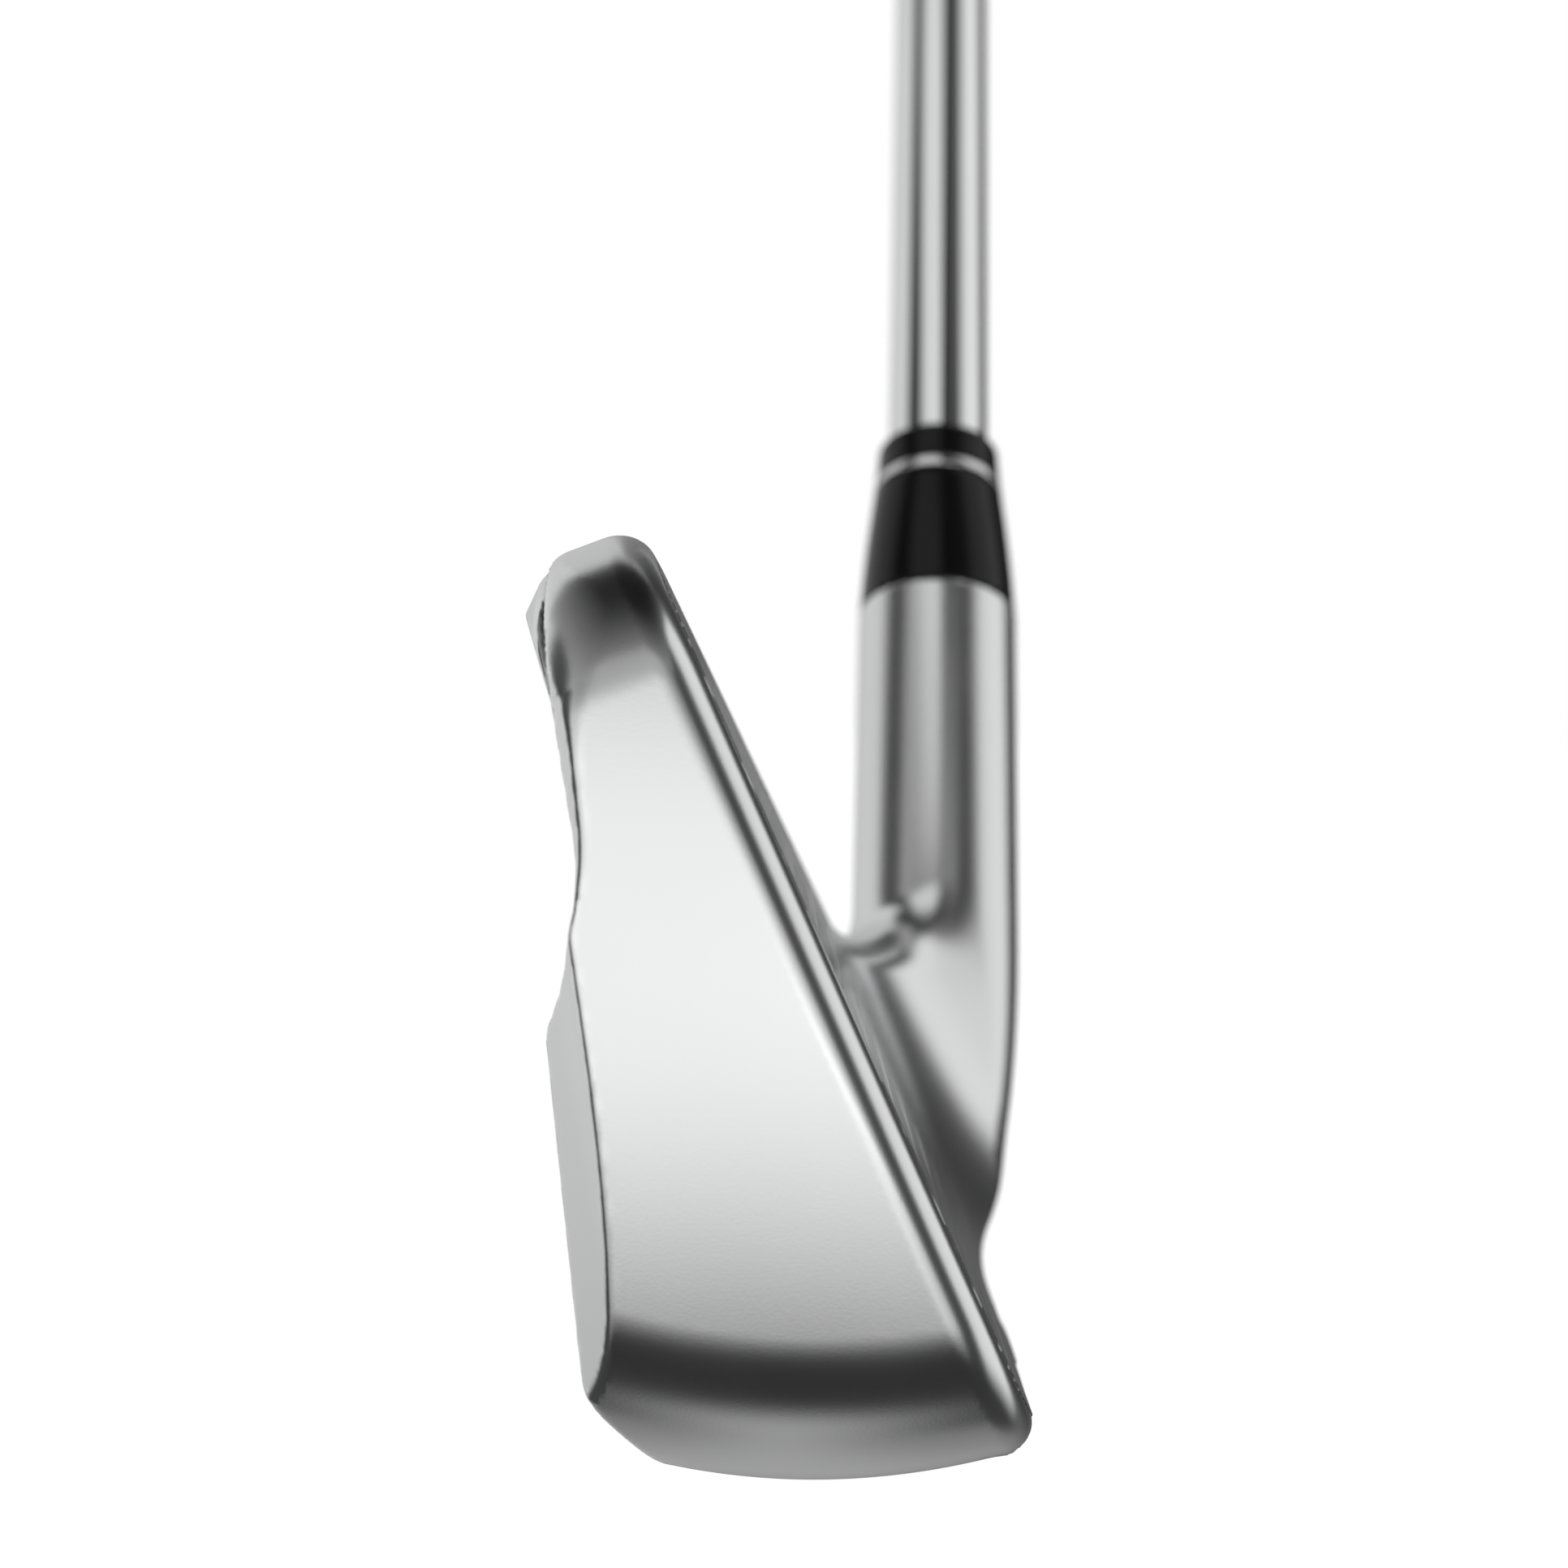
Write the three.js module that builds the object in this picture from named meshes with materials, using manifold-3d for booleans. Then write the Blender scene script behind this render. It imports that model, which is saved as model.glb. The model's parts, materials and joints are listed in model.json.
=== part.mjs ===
// A right-handed 6-iron golf club in millimetres: cast head, welded face plate, bonded badge, stepped
// steel shaft, ferrule and rubber grip.
//
// The head is drawn with the club soled at address: +X points at the target, +Y runs from toe to heel,
// +Z is up, the ground is Z = 0 and the shaft axis meets the ground at Y = 0. The finished group is then
// moved so that its origin is the centre of the striking face.

import * as THREE from 'three';
import { ConvexGeometry } from 'three/addons/geometries/ConvexGeometry.js';
import { mergeVertices } from 'three/addons/utils/BufferGeometryUtils.js';
import Module from 'manifold-3d';

const degrees = THREE.MathUtils.degToRad;

// Whole club
const CLUB_LENGTH = 952.5; // ground to grip cap along the shaft, 37.5 inches
const LIE = degrees(62.5);
const LOFT = degrees(25.7);
const BOND_GAP = 0.3; // clearance that glue or weld fills between neighbours

// Blade, seen square on to the face: u runs toe to heel, v runs up the face
const FACE_FRONT = 5.92; // where the face plane meets the ground
const TOE_SIDE = -66.2;
const TOE_CROWN = new THREE.Vector2(-54, 64.7);
const TOPLINE_FALL = degrees(29.5);
const TOPLINE_HEIGHT = 36.6; // at u = 0
const TOPLINE_TOE_END = -44;
const TOE_SIDE_TOP = 40; // the toe side is straight below this
const CROWN_REACH = { topline: 4.5, near: 3, far: 7, side: 16 }; // how long the crown holds each direction
const TOE_CORNER_REACH = { across: 14, up: 20 };
const BLADE_HEEL_END = 3;
const BLADE_BOTTOM = -30; // below the sole, which trims it
const FACE_EDGE_RADIUS = 2.1;
const HIGH = 100; // far above and beyond the blade, for tools that only trim one side

// Sole
const CAMBER_RADIUS = 170; // toe to heel
const CAMBER_Y = -27; // lowest point of the sole
const SOLE_RADIUS = 40; // front to back
const SOLE_LOWEST_X = -11.5;
const TRAILING_EDGE_X = -19.6;
const SOLE_FRONT_X = 1.6;
const TRAILING_CHAMFER = [[-40, 21], [-23.2, 4]]; // X and height above the sole line
const LEADING_EDGE = [[2.8, 2.75], [3.5, 3.6], [3.8, 4.7], [9, 15], [14, 30]];
const TOE_CORNER_RADIUS = 12;
const TOE_CORNER_HEIGHT = 14.2;
const HEEL_CORNER = new THREE.Vector2(-0.5, 16.3);
const HEEL_CORNER_RADIUS = 15;

// Back of the head
const TOPLINE_THICKNESS = 4.4;
const UPPER_WALL_SLOPE = 0.29; // how fast the upper wall thickens below the topline
const BACK_STATION_Y = -50; // where the back profile is drawn
const MUSCLE_TOE_END = -62;
const MUSCLE_TOE_CHAMFER = 3.4;

// Face plate and scorelines
const PLATE_HEEL_END = 0.5;
const PLATE_BOTTOM = 4.5;
const PLATE_MARGIN = 2.6;
const PLATE_THICKNESS = 2.4;
const SCORELINE_PITCH = 3.6;
const SCORELINE_WIDTH = 0.9;
const SCORELINE_DEPTH = 0.45;
const SCORELINE_MARGIN = 3.4; // from the ends of the lines to the edge of the plate
const SCORELINE_COUNT = 11;
const FACE_CENTRE_U = -28;
const FACE_CENTRE_V = 23.3; // on the land between two scorelines
const LOWEST_SCORELINE_V = FACE_CENTRE_V - 3.5 * SCORELINE_PITCH;

// Hollow behind the face
const POCKET_MARGIN = 4.6;
const POCKET_FLOOR = 2.4; // wall left above the sole
const REAR_WALL = 1.5;
const WEIGHT_HEEL_END = -45;
const WEIGHT_TOP = 11;
const CORE_TOP = 27;

// Badge bonded to the upper wall: distances below the topline, and lengths along it from u = 0
const BADGE_TOP = 1;
const BADGE_BOTTOM = 13;
const BADGE_RIDGE = 6.4;
const BADGE_BACK = -9.1; // ridge, measured off the face plane
const BADGE_FOOT = 1.2; // height of its lower and upper edges off the wall
const BADGE_LIFT = 0.6; // height of its underside off the wall, filled by the tape
const BADGE_HEEL_END = 12;
const BADGE_TOE_END = 61;
const INLAY_TOP = 7.4;
const INLAY_BOTTOM = 11.8;
const INLAY_THICKNESS = 0.6;
const INLAY_HEEL_END = 18;
const INLAY_TOE_END = 49;

// Hosel, ferrule and shaft: heights are measured along the shaft axis from the ground
const HOSEL_RADIUS = 7.03;
const NECK_RADIUS = HOSEL_RADIUS - 0.04;
const HOSEL_TOP = 64.2;
const NECK_TOP = 44;
const NECK_BOTTOM = 10;
const BORE_RADIUS = 4.87;
const BORE_BOTTOM = 26;
const SHAFT_TIP = 28.9;
const SHAFT_TIP_RADIUS = 4.51; // 0.355 inch taper tip
const SHAFT_NECK_RADIUS = 4.72; // just below the first step
const SHAFT_BUTT_RADIUS = 7.62; // 0.600 inch butt
const SHAFT_TIP_WALL = 0.62;
const SHAFT_BUTT_WALL = 0.28;
const FIRST_STEP = 240;
const STEP_PITCH = 35;
const STEP_COUNT = 13;
const STEP_LENGTH = 1.2;
const BAND_LENGTH = 27;
const BAND_THICKNESS = 0.12;
const FERRULE_TOP = HOSEL_TOP + 17.5;
const RING_MIDDLE = HOSEL_TOP + 13.1;
const RING_WIDTH = 1.05;
const FERRULE_BORE = 4.74;
const FERRULE_RING_RADIUS = 5.8;
const FERRULE_CAP_RADIUS = 5.45;
const SEAM = 0.1; // joint line between the ferrule's parts
const ROUND_SEGMENTS = 32;

// Grip
const CAP_HEIGHT = 5.7;
const CAP_RADIUS = 14;
const VENT_RADIUS = 1.6;
const GRIP_TOP = CLUB_LENGTH - CAP_HEIGHT - SEAM;
const SHAFT_TOP = GRIP_TOP - 1;
const GRIP_LENGTH = 262;
const GRIP_MOUTH = GRIP_TOP - GRIP_LENGTH;
const GRIP_MOUTH_RADIUS = 8.9;
const GRIP_BUTT_RADIUS = 13.2;
const GRIP_BORE_RADIUS = 8.05;
const TAPE_THICKNESS = 0.15;

const AXIS_X = new THREE.Vector3(1, 0, 0);
const AXIS_Y = new THREE.Vector3(0, 1, 0);
const AXIS_Z = new THREE.Vector3(0, 0, 1);
const FACE_NORMAL = new THREE.Vector3(Math.cos(LOFT), 0, Math.sin(LOFT));
const UP_THE_FACE = new THREE.Vector3(-Math.sin(LOFT), 0, Math.cos(LOFT));
const SHAFT_AXIS = new THREE.Vector3(0, Math.cos(LIE), Math.sin(LIE));

// Drawing planes. A profile is drawn in a frame's X and Y, and its Z is the depth.
function frameOf(x, y, z, origin) {
  return new THREE.Matrix4().makeBasis(x, y, z).setPosition(origin);
}

const NOWHERE = new THREE.Vector3();
const FACE_FRAME = frameOf(AXIS_Y, UP_THE_FACE, FACE_NORMAL, new THREE.Vector3(FACE_FRONT, 0, 0));
const FRONT_FRAME = frameOf(AXIS_Y, AXIS_Z, AXIS_X, NOWHERE);
const SIDE_FRAME = frameOf(AXIS_X, AXIS_Z, AXIS_Y.clone().negate(), NOWHERE);
const SHAFT_FRAME = frameOf(AXIS_X, SHAFT_AXIS, AXIS_X.clone().cross(SHAFT_AXIS), NOWHERE);
const CAMBER_FRAME = frameOf(
  AXIS_Y, AXIS_X, AXIS_Z.clone().negate(), new THREE.Vector3(0, CAMBER_Y, CAMBER_RADIUS),
);

// The back profile slides down and forward towards the heel, staying parallel to the face.
const BACK_SLIDE = new THREE.Vector3(-0.12, -1, 0.25);
const BACK_FRAME = frameOf(AXIS_X, AXIS_Z, BACK_SLIDE, new THREE.Vector3(0, BACK_STATION_Y, 0));

// Sections square to the topline: X is the distance below it, Y the height off the face plane.
const BELOW_TOPLINE = new THREE.Vector3(-Math.sin(TOPLINE_FALL), -Math.cos(TOPLINE_FALL), 0);
const TOWARDS_TOE = new THREE.Vector3(-Math.cos(TOPLINE_FALL), Math.sin(TOPLINE_FALL), 0);
const TOPLINE_FRAME = FACE_FRAME.clone().multiply(
  frameOf(BELOW_TOPLINE, AXIS_Z, TOWARDS_TOE, new THREE.Vector3(0, TOPLINE_HEIGHT, 0)),
);

// Sections along the topline: X runs towards the toe, Y is the height off the face plane.
const ALONG_TOPLINE_FRAME = FACE_FRAME.clone().multiply(
  frameOf(TOWARDS_TOE, AXIS_Z, BELOW_TOPLINE.clone().negate(), new THREE.Vector3(0, TOPLINE_HEIGHT, 0)),
);

// ---- Solids ----

const wasm = await Module();
wasm.setup();

function toSolid(geometry) {
  const bare = geometry.clone();
  bare.deleteAttribute('normal');
  bare.deleteAttribute('uv');
  const merged = mergeVertices(bare, 1e-4);
  const corners = merged.index.array;
  const kept = [];
  for (let i = 0; i < corners.length; i += 3) {
    const [a, b, c] = corners.slice(i, i + 3);
    if (a !== b && b !== c && c !== a) {
      kept.push(a, b, c);
    }
  }
  const vertProperties = new Float32Array(merged.attributes.position.array);
  return new wasm.Manifold(new wasm.Mesh({ numProp: 3, vertProperties, triVerts: new Uint32Array(kept) }));
}

function toGeometry(solid) {
  const mesh = solid.getMesh();
  const geometry = new THREE.BufferGeometry();
  geometry.setAttribute('position', new THREE.BufferAttribute(mesh.vertProperties, 3));
  geometry.setIndex(new THREE.BufferAttribute(mesh.triVerts, 1));
  geometry.computeVertexNormals();
  return geometry;
}

function common(first, ...others) {
  return others.reduce((left, right) => left.intersect(right), first);
}

function joined(first, ...others) {
  return others.reduce((left, right) => left.add(right), first);
}

function without(first, ...others) {
  return others.reduce((left, right) => left.subtract(right), first);
}

function polygon(points) {
  return new THREE.Shape(points.map(([x, y]) => new THREE.Vector2(x, y)));
}

function prism(shape, frame, from, to) {
  const geometry = new THREE.ExtrudeGeometry(shape, { depth: to - from, bevelEnabled: false });
  geometry.translate(0, 0, from);
  geometry.applyMatrix4(frame);
  return toSolid(geometry);
}

// A prism whose two ends are bevelled by "bevel"; the sides keep the drawn outline.
function bevelledPrism(shape, frame, from, to, bevel) {
  const geometry = new THREE.ExtrudeGeometry(shape, {
    depth: to - from - 2 * bevel.length,
    bevelThickness: bevel.length,
    bevelSize: bevel.size,
    bevelOffset: -bevel.size,
    bevelSegments: bevel.segments,
  });
  geometry.translate(0, 0, from + bevel.length);
  geometry.applyMatrix4(frame);
  return toSolid(geometry);
}

// The outline moved inwards by the same distance all round.
function inset(shape, distance) {
  const corners = shape.getPoints();
  if (corners[0].distanceTo(corners.at(-1)) < 1e-6) {
    corners.pop();
  }
  const turn = Math.sign(THREE.ShapeUtils.area(corners));
  const moved = corners.map((corner, i) => {
    const before = corner.clone().sub(corners.at(i - 1)).normalize();
    const after = corners[(i + 1) % corners.length].clone().sub(corner).normalize();
    const inward = new THREE.Vector2(-before.y - after.y, before.x + after.x).normalize();
    const spread = inward.dot(new THREE.Vector2(-before.y, before.x));
    return corner.clone().addScaledVector(inward, (turn * distance) / spread);
  });
  return new THREE.Shape(moved);
}

// A turned part: [radius, height] pairs up the outside, closed by the matching pairs of its bore.
function turned(outside, bore) {
  const loop = [...outside, ...bore.slice().reverse(), outside[0]];
  const geometry = new THREE.LatheGeometry(loop.map(([r, h]) => new THREE.Vector2(r, h)), ROUND_SEGMENTS);
  geometry.applyMatrix4(SHAFT_FRAME);
  return geometry;
}

// A turned part without a bore.
function turnedBar(outside) {
  const loop = [[0, outside[0][1]], ...outside, [0, outside.at(-1)[1]]];
  const geometry = new THREE.LatheGeometry(loop.map(([r, h]) => new THREE.Vector2(r, h)), ROUND_SEGMENTS);
  geometry.applyMatrix4(SHAFT_FRAME);
  return geometry;
}

function shaftRing(height, radius) {
  const ring = [];
  for (let i = 0; i < ROUND_SEGMENTS; i += 1) {
    const angle = (2 * Math.PI * i) / ROUND_SEGMENTS;
    ring.push(new THREE.Vector3(radius * Math.sin(angle), height, radius * Math.cos(angle)));
  }
  return ring.map((point) => point.applyMatrix4(SHAFT_FRAME));
}

// ---- Head outlines ----

function toplineAt(u) {
  return TOPLINE_HEIGHT - u * Math.tan(TOPLINE_FALL);
}

function faceXAt(z) {
  return FACE_FRONT - z * Math.tan(LOFT);
}

function upperWallAt(below) {
  return -(TOPLINE_THICKNESS + UPPER_WALL_SLOPE * below);
}

// Topline, crown, toe and a rounded lower toe corner, closed along the heel end and the bottom.
function bladeOutline(heelEnd, bottom) {
  const shape = new THREE.Shape();
  const toplineEnd = toplineAt(TOPLINE_TOE_END);
  const { topline, near, far, side } = CROWN_REACH;
  const { across, up } = TOE_CORNER_REACH;
  shape.moveTo(heelEnd, bottom);
  shape.lineTo(heelEnd, toplineAt(heelEnd));
  shape.lineTo(TOPLINE_TOE_END, toplineEnd);
  shape.bezierCurveTo(
    TOPLINE_TOE_END - topline, toplineEnd + topline * Math.tan(TOPLINE_FALL),
    TOE_CROWN.x + near, TOE_CROWN.y, TOE_CROWN.x, TOE_CROWN.y,
  );
  shape.bezierCurveTo(
    TOE_CROWN.x - far, TOE_CROWN.y, TOE_SIDE, TOE_SIDE_TOP + side, TOE_SIDE, TOE_SIDE_TOP,
  );
  shape.lineTo(TOE_SIDE, bottom + up);
  shape.bezierCurveTo(
    TOE_SIDE, bottom + 0.4 * up, TOE_SIDE + 0.3 * across, bottom, TOE_SIDE + across, bottom,
  );
  return shape;
}

// The blade outline that the face plate and the hollow behind it keep their distance from.
function plateOutline(margin) {
  return inset(bladeOutline(PLATE_HEEL_END, PLATE_BOTTOM), margin);
}

// What a viewer in front of the face sees below the topline: toe corner, sole and heel corner. The two
// arcs end where they meet the cambered sole, and the outline runs below the sole between them.
function frontOutline() {
  const toeCorner = new THREE.Vector2(TOE_SIDE + TOE_CORNER_RADIUS, TOE_CORNER_HEIGHT);
  const toeEnd = degrees(261);
  const heelStart = degrees(-83);
  const heelEnd = LIE - Math.PI / 2;
  const belowSole = -2.2;
  const shape = new THREE.Shape();
  shape.moveTo(TOE_SIDE, HIGH);
  shape.lineTo(TOE_SIDE, toeCorner.y);
  shape.absarc(toeCorner.x, toeCorner.y, TOE_CORNER_RADIUS, Math.PI, toeEnd, false);
  shape.lineTo(CAMBER_Y, belowSole);
  shape.absarc(HEEL_CORNER.x, HEEL_CORNER.y, HEEL_CORNER_RADIUS, heelStart, heelEnd, false);
  shape.lineTo(HOSEL_RADIUS / Math.sin(LIE) + HIGH / Math.tan(LIE), HIGH);
  return shape;
}

// A disc on edge: its rim is the sole, curved both ways, with the leading edge and trailing chamfer.
function soleDisc(wall) {
  const rim = [...TRAILING_CHAMFER];
  const steps = 8;
  for (let i = 0; i <= steps; i += 1) {
    const x = THREE.MathUtils.lerp(TRAILING_EDGE_X, SOLE_FRONT_X, i / steps);
    rim.push([x, (x - SOLE_LOWEST_X) ** 2 / (2 * SOLE_RADIUS)]);
  }
  rim.push(...LEADING_EDGE);
  const profile = rim.map(([x, z]) => new THREE.Vector2(CAMBER_RADIUS - wall - z, x));
  profile.unshift(new THREE.Vector2(0, rim[0][0]));
  profile.push(new THREE.Vector2(0, rim.at(-1)[0]));
  const geometry = new THREE.LatheGeometry(profile, 96);
  geometry.applyMatrix4(CAMBER_FRAME);
  return toSolid(geometry);
}

function bladePrism(outline, from, to) {
  return prism(outline, FACE_FRAME, from, to);
}

// ---- Head body ----

function upperWall() {
  const above = -5;
  const below = 80;
  const section = polygon([
    [above, 5], [above, upperWallAt(above)], [below, upperWallAt(below)], [below, 5],
  ]);
  return prism(section, TOPLINE_FRAME, -HIGH, HIGH);
}

function lowerBack() {
  const toeWall = polygon([[20, -20], [20, 10], [-8, 35], [-22.9, 32.6], [-15.5, -20]]);
  const muscle = polygon([[0, -30], [0, 28], [-23.2, 33.2], [-26.9, 27.4], [-24.7, 8.8], [-20.5, -30]]);
  const toeEnd = BACK_STATION_Y - MUSCLE_TOE_END;
  const chamfer = { length: 5, size: MUSCLE_TOE_CHAMFER, segments: 1 };
  return joined(
    prism(toeWall, BACK_FRAME, -HIGH, HIGH),
    bevelledPrism(muscle, BACK_FRAME, -HIGH, toeEnd, chamfer),
  );
}

function blade() {
  const edge = { length: FACE_EDGE_RADIUS, size: FACE_EDGE_RADIUS, segments: 3 };
  return common(
    bevelledPrism(bladeOutline(BLADE_HEEL_END, BLADE_BOTTOM), FACE_FRAME, -45, 0, edge),
    joined(upperWall(), lowerBack()),
  );
}

// The hosel flows down into the heel of the blade.
function neck() {
  const heelSection = [
    [faceXAt(33), 33], [-15, 31], [-21.1, 15], [-18.8, 2], [faceXAt(3), 3],
  ];
  const corners = [
    ...shaftRing(NECK_TOP, NECK_RADIUS),
    ...shaftRing(NECK_BOTTOM, NECK_RADIUS),
    ...heelSection.map(([x, z]) => new THREE.Vector3(x, 0, z)),
  ];
  const front = new THREE.Shape();
  front.moveTo(-40, -10);
  front.lineTo(3, -10);
  front.lineTo(3.6, 4.1);
  front.bezierCurveTo(5.6, 11, HOSEL_RADIUS, 19, HOSEL_RADIUS, 31);
  front.lineTo(HOSEL_RADIUS, HIGH);
  front.lineTo(-40, HIGH);
  return common(toSolid(new ConvexGeometry(corners)), prism(front, SIDE_FRAME, -HIGH, HIGH));
}

function facePlateRecess() {
  return bladePrism(plateOutline(PLATE_MARGIN - BOND_GAP), -(PLATE_THICKNESS + BOND_GAP), 5);
}

// The hollow for the core and the weight, "clearance" smaller all round.
function lowerPocket(clearance, front) {
  const section = polygon([
    [20, -30], [20, 5], [-8, 31], [-21, 31], [-24.6, 26.4], [-22.6, 9], [-18.8, -30],
  ]);
  return common(
    prism(inset(section, clearance), BACK_FRAME, -HIGH, HIGH),
    bladePrism(plateOutline(POCKET_MARGIN + clearance), -40, front),
    soleDisc(POCKET_FLOOR + clearance),
  );
}

function upperPocket() {
  const top = 4;
  const low = 34;
  const section = polygon([
    [top, 5], [top, upperWallAt(top) + REAR_WALL], [low, upperWallAt(low) + REAR_WALL], [low, 5],
  ]);
  return common(
    prism(section, TOPLINE_FRAME, -HIGH, HIGH),
    bladePrism(plateOutline(POCKET_MARGIN), -40, 5),
    soleDisc(POCKET_FLOOR),
  );
}

function hosel() {
  const chamfer = 0.3;
  return toSolid(turnedBar([
    [HOSEL_RADIUS, NECK_TOP - 4],
    [HOSEL_RADIUS, HOSEL_TOP - chamfer],
    [HOSEL_RADIUS - chamfer, HOSEL_TOP],
  ]));
}

function hoselBore() {
  return toSolid(turnedBar([[BORE_RADIUS, BORE_BOTTOM], [BORE_RADIUS, HOSEL_TOP + 5]]));
}

// Clears the shelf above the muscle so that the badge lies flat on the upper wall.
function badgeSeat() {
  const top = BADGE_TOP - BOND_GAP;
  const bottom = BADGE_BOTTOM + BOND_GAP;
  const relief = 0.05;
  const section = polygon([
    [top, upperWallAt(top) - relief], [top, -40], [bottom, -40], [bottom, upperWallAt(bottom) - relief],
  ]);
  return prism(section, TOPLINE_FRAME, BADGE_HEEL_END - BOND_GAP, BADGE_TOE_END + BOND_GAP);
}

function headBody() {
  const trimmed = common(
    joined(blade(), neck()),
    prism(frontOutline(), FRONT_FRAME, -HIGH, HIGH),
    soleDisc(0),
  );
  return toGeometry(without(
    joined(trimmed, hosel()),
    hoselBore(),
    facePlateRecess(),
    lowerPocket(0, 5),
    upperPocket(),
    badgeSeat(),
  ));
}

// ---- Pieces carried by the head ----

function scoreline(v) {
  const half = SCORELINE_WIDTH / 2;
  const floor = half * 0.55;
  const above = 0.2;
  const section = polygon([
    [v - half, above], [v - floor, -SCORELINE_DEPTH], [v + floor, -SCORELINE_DEPTH], [v + half, above],
  ]);
  const alongFace = FACE_FRAME.clone().multiply(frameOf(AXIS_Y, AXIS_Z, AXIS_X, NOWHERE));
  return prism(section, alongFace, -HIGH, HIGH);
}

function facePlate() {
  const plate = bladePrism(plateOutline(PLATE_MARGIN), -PLATE_THICKNESS, 0);
  const lines = [];
  for (let i = 0; i < SCORELINE_COUNT; i += 1) {
    lines.push(scoreline(LOWEST_SCORELINE_V + i * SCORELINE_PITCH));
  }
  const scored = bladePrism(plateOutline(PLATE_MARGIN + SCORELINE_MARGIN), -5, 5);
  return toGeometry(without(plate, common(joined(...lines), scored)));
}

// Everything on the toe side of "heelEnd" and below "top".
function lowSpace(heelEnd, top) {
  const block = polygon([[-HIGH, -HIGH], [heelEnd, -HIGH], [heelEnd, top], [-HIGH, top]]);
  return prism(block, FRONT_FRAME, -HIGH, HIGH);
}

function toeWeightSpace(clearance) {
  return lowSpace(WEIGHT_HEEL_END + clearance, WEIGHT_TOP + clearance);
}

function behindPlate() {
  return -(PLATE_THICKNESS + 2 * BOND_GAP);
}

function toeWeight() {
  return toGeometry(common(lowerPocket(BOND_GAP, behindPlate()), toeWeightSpace(0)));
}

function dampingCore() {
  const filled = common(lowerPocket(BOND_GAP, behindPlate()), lowSpace(HIGH, CORE_TOP));
  return toGeometry(without(filled, toeWeightSpace(BOND_GAP)));
}

// The badge is a rib along the topline: its ridge is near the top, above a long flat facet.
function badgeBackAt(below) {
  const foot = upperWallAt(BADGE_BOTTOM) - BADGE_FOOT;
  return THREE.MathUtils.mapLinear(below, BADGE_RIDGE, BADGE_BOTTOM, BADGE_BACK, foot);
}

function badgeRib() {
  const section = polygon([
    [BADGE_TOP, upperWallAt(BADGE_TOP) - BADGE_LIFT],
    [BADGE_TOP, upperWallAt(BADGE_TOP) - BADGE_FOOT],
    [BADGE_RIDGE - 2.6, BADGE_BACK + 0.2],
    [BADGE_RIDGE, BADGE_BACK],
    [BADGE_BOTTOM, badgeBackAt(BADGE_BOTTOM)],
    [BADGE_BOTTOM, upperWallAt(BADGE_BOTTOM) - BADGE_LIFT],
  ]);
  const sloped = polygon([
    [BADGE_HEEL_END, 5],
    [BADGE_HEEL_END, -5],
    [BADGE_HEEL_END + 6, -15],
    [BADGE_TOE_END - 6, -15],
    [BADGE_TOE_END, -5],
    [BADGE_TOE_END, 5],
  ]);
  return common(
    prism(section, TOPLINE_FRAME, BADGE_HEEL_END, BADGE_TOE_END),
    prism(sloped, ALONG_TOPLINE_FRAME, -HIGH, HIGH),
    bladePrism(inset(bladeOutline(BLADE_HEEL_END, BLADE_BOTTOM), 1), -40, 5),
  );
}

function inlayPocket(clearance, depth) {
  const top = INLAY_TOP - clearance;
  const bottom = INLAY_BOTTOM + clearance;
  const section = polygon([
    [top, badgeBackAt(top) + depth], [top, -20], [bottom, -20], [bottom, badgeBackAt(bottom) + depth],
  ]);
  return prism(section, TOPLINE_FRAME, INLAY_HEEL_END - clearance, INLAY_TOE_END + clearance);
}

function backBadge() {
  return toGeometry(without(badgeRib(), inlayPocket(BOND_GAP, INLAY_THICKNESS + 0.1)));
}

function badgeInlay() {
  const section = polygon([
    [INLAY_TOP, badgeBackAt(INLAY_TOP) + INLAY_THICKNESS],
    [INLAY_TOP, badgeBackAt(INLAY_TOP)],
    [INLAY_BOTTOM, badgeBackAt(INLAY_BOTTOM)],
    [INLAY_BOTTOM, badgeBackAt(INLAY_BOTTOM) + INLAY_THICKNESS],
  ]);
  return toGeometry(prism(section, TOPLINE_FRAME, INLAY_HEEL_END, INLAY_TOE_END));
}

function badgeTape() {
  const top = BADGE_TOP + 1;
  const bottom = BADGE_BOTTOM - 1;
  const section = polygon([
    [top, upperWallAt(top) - 0.1],
    [top, upperWallAt(top) - BADGE_LIFT + 0.1],
    [bottom, upperWallAt(bottom) - BADGE_LIFT + 0.1],
    [bottom, upperWallAt(bottom) - 0.1],
  ]);
  return toGeometry(prism(section, TOPLINE_FRAME, BADGE_HEEL_END + 2, BADGE_TOE_END - 6));
}

// ---- Hosel contents and ferrule ----

function hoselPlug() {
  const radius = BORE_RADIUS - BOND_GAP;
  return turnedBar([[radius, BORE_BOTTOM + BOND_GAP], [radius, BORE_BOTTOM + 1.5]]);
}

function tipWeight() {
  const flange = SHAFT_TIP - BOND_GAP;
  const pin = SHAFT_TIP_RADIUS - SHAFT_TIP_WALL - 0.2;
  return turnedBar([
    [SHAFT_TIP_RADIUS - 0.2, flange - 0.8],
    [SHAFT_TIP_RADIUS - 0.2, flange],
    [pin, flange],
    [pin, SHAFT_TIP + 20],
    [pin - 0.5, SHAFT_TIP + 20.5],
  ]);
}

function shaftBond() {
  const outside = BORE_RADIUS - 0.07;
  const inside = outside - 0.14;
  const from = SHAFT_TIP + 0.5;
  const to = HOSEL_TOP - 0.2;
  return turned([[outside, from], [outside, to]], [[inside, from], [inside, to]]);
}

function ferruleRadiusAt(height) {
  const rise = (height - HOSEL_TOP) / (RING_MIDDLE - HOSEL_TOP);
  const straight = THREE.MathUtils.lerp(HOSEL_RADIUS - 0.03, FERRULE_RING_RADIUS, rise);
  return straight + 0.12 * Math.sin(Math.PI * rise);
}

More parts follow.
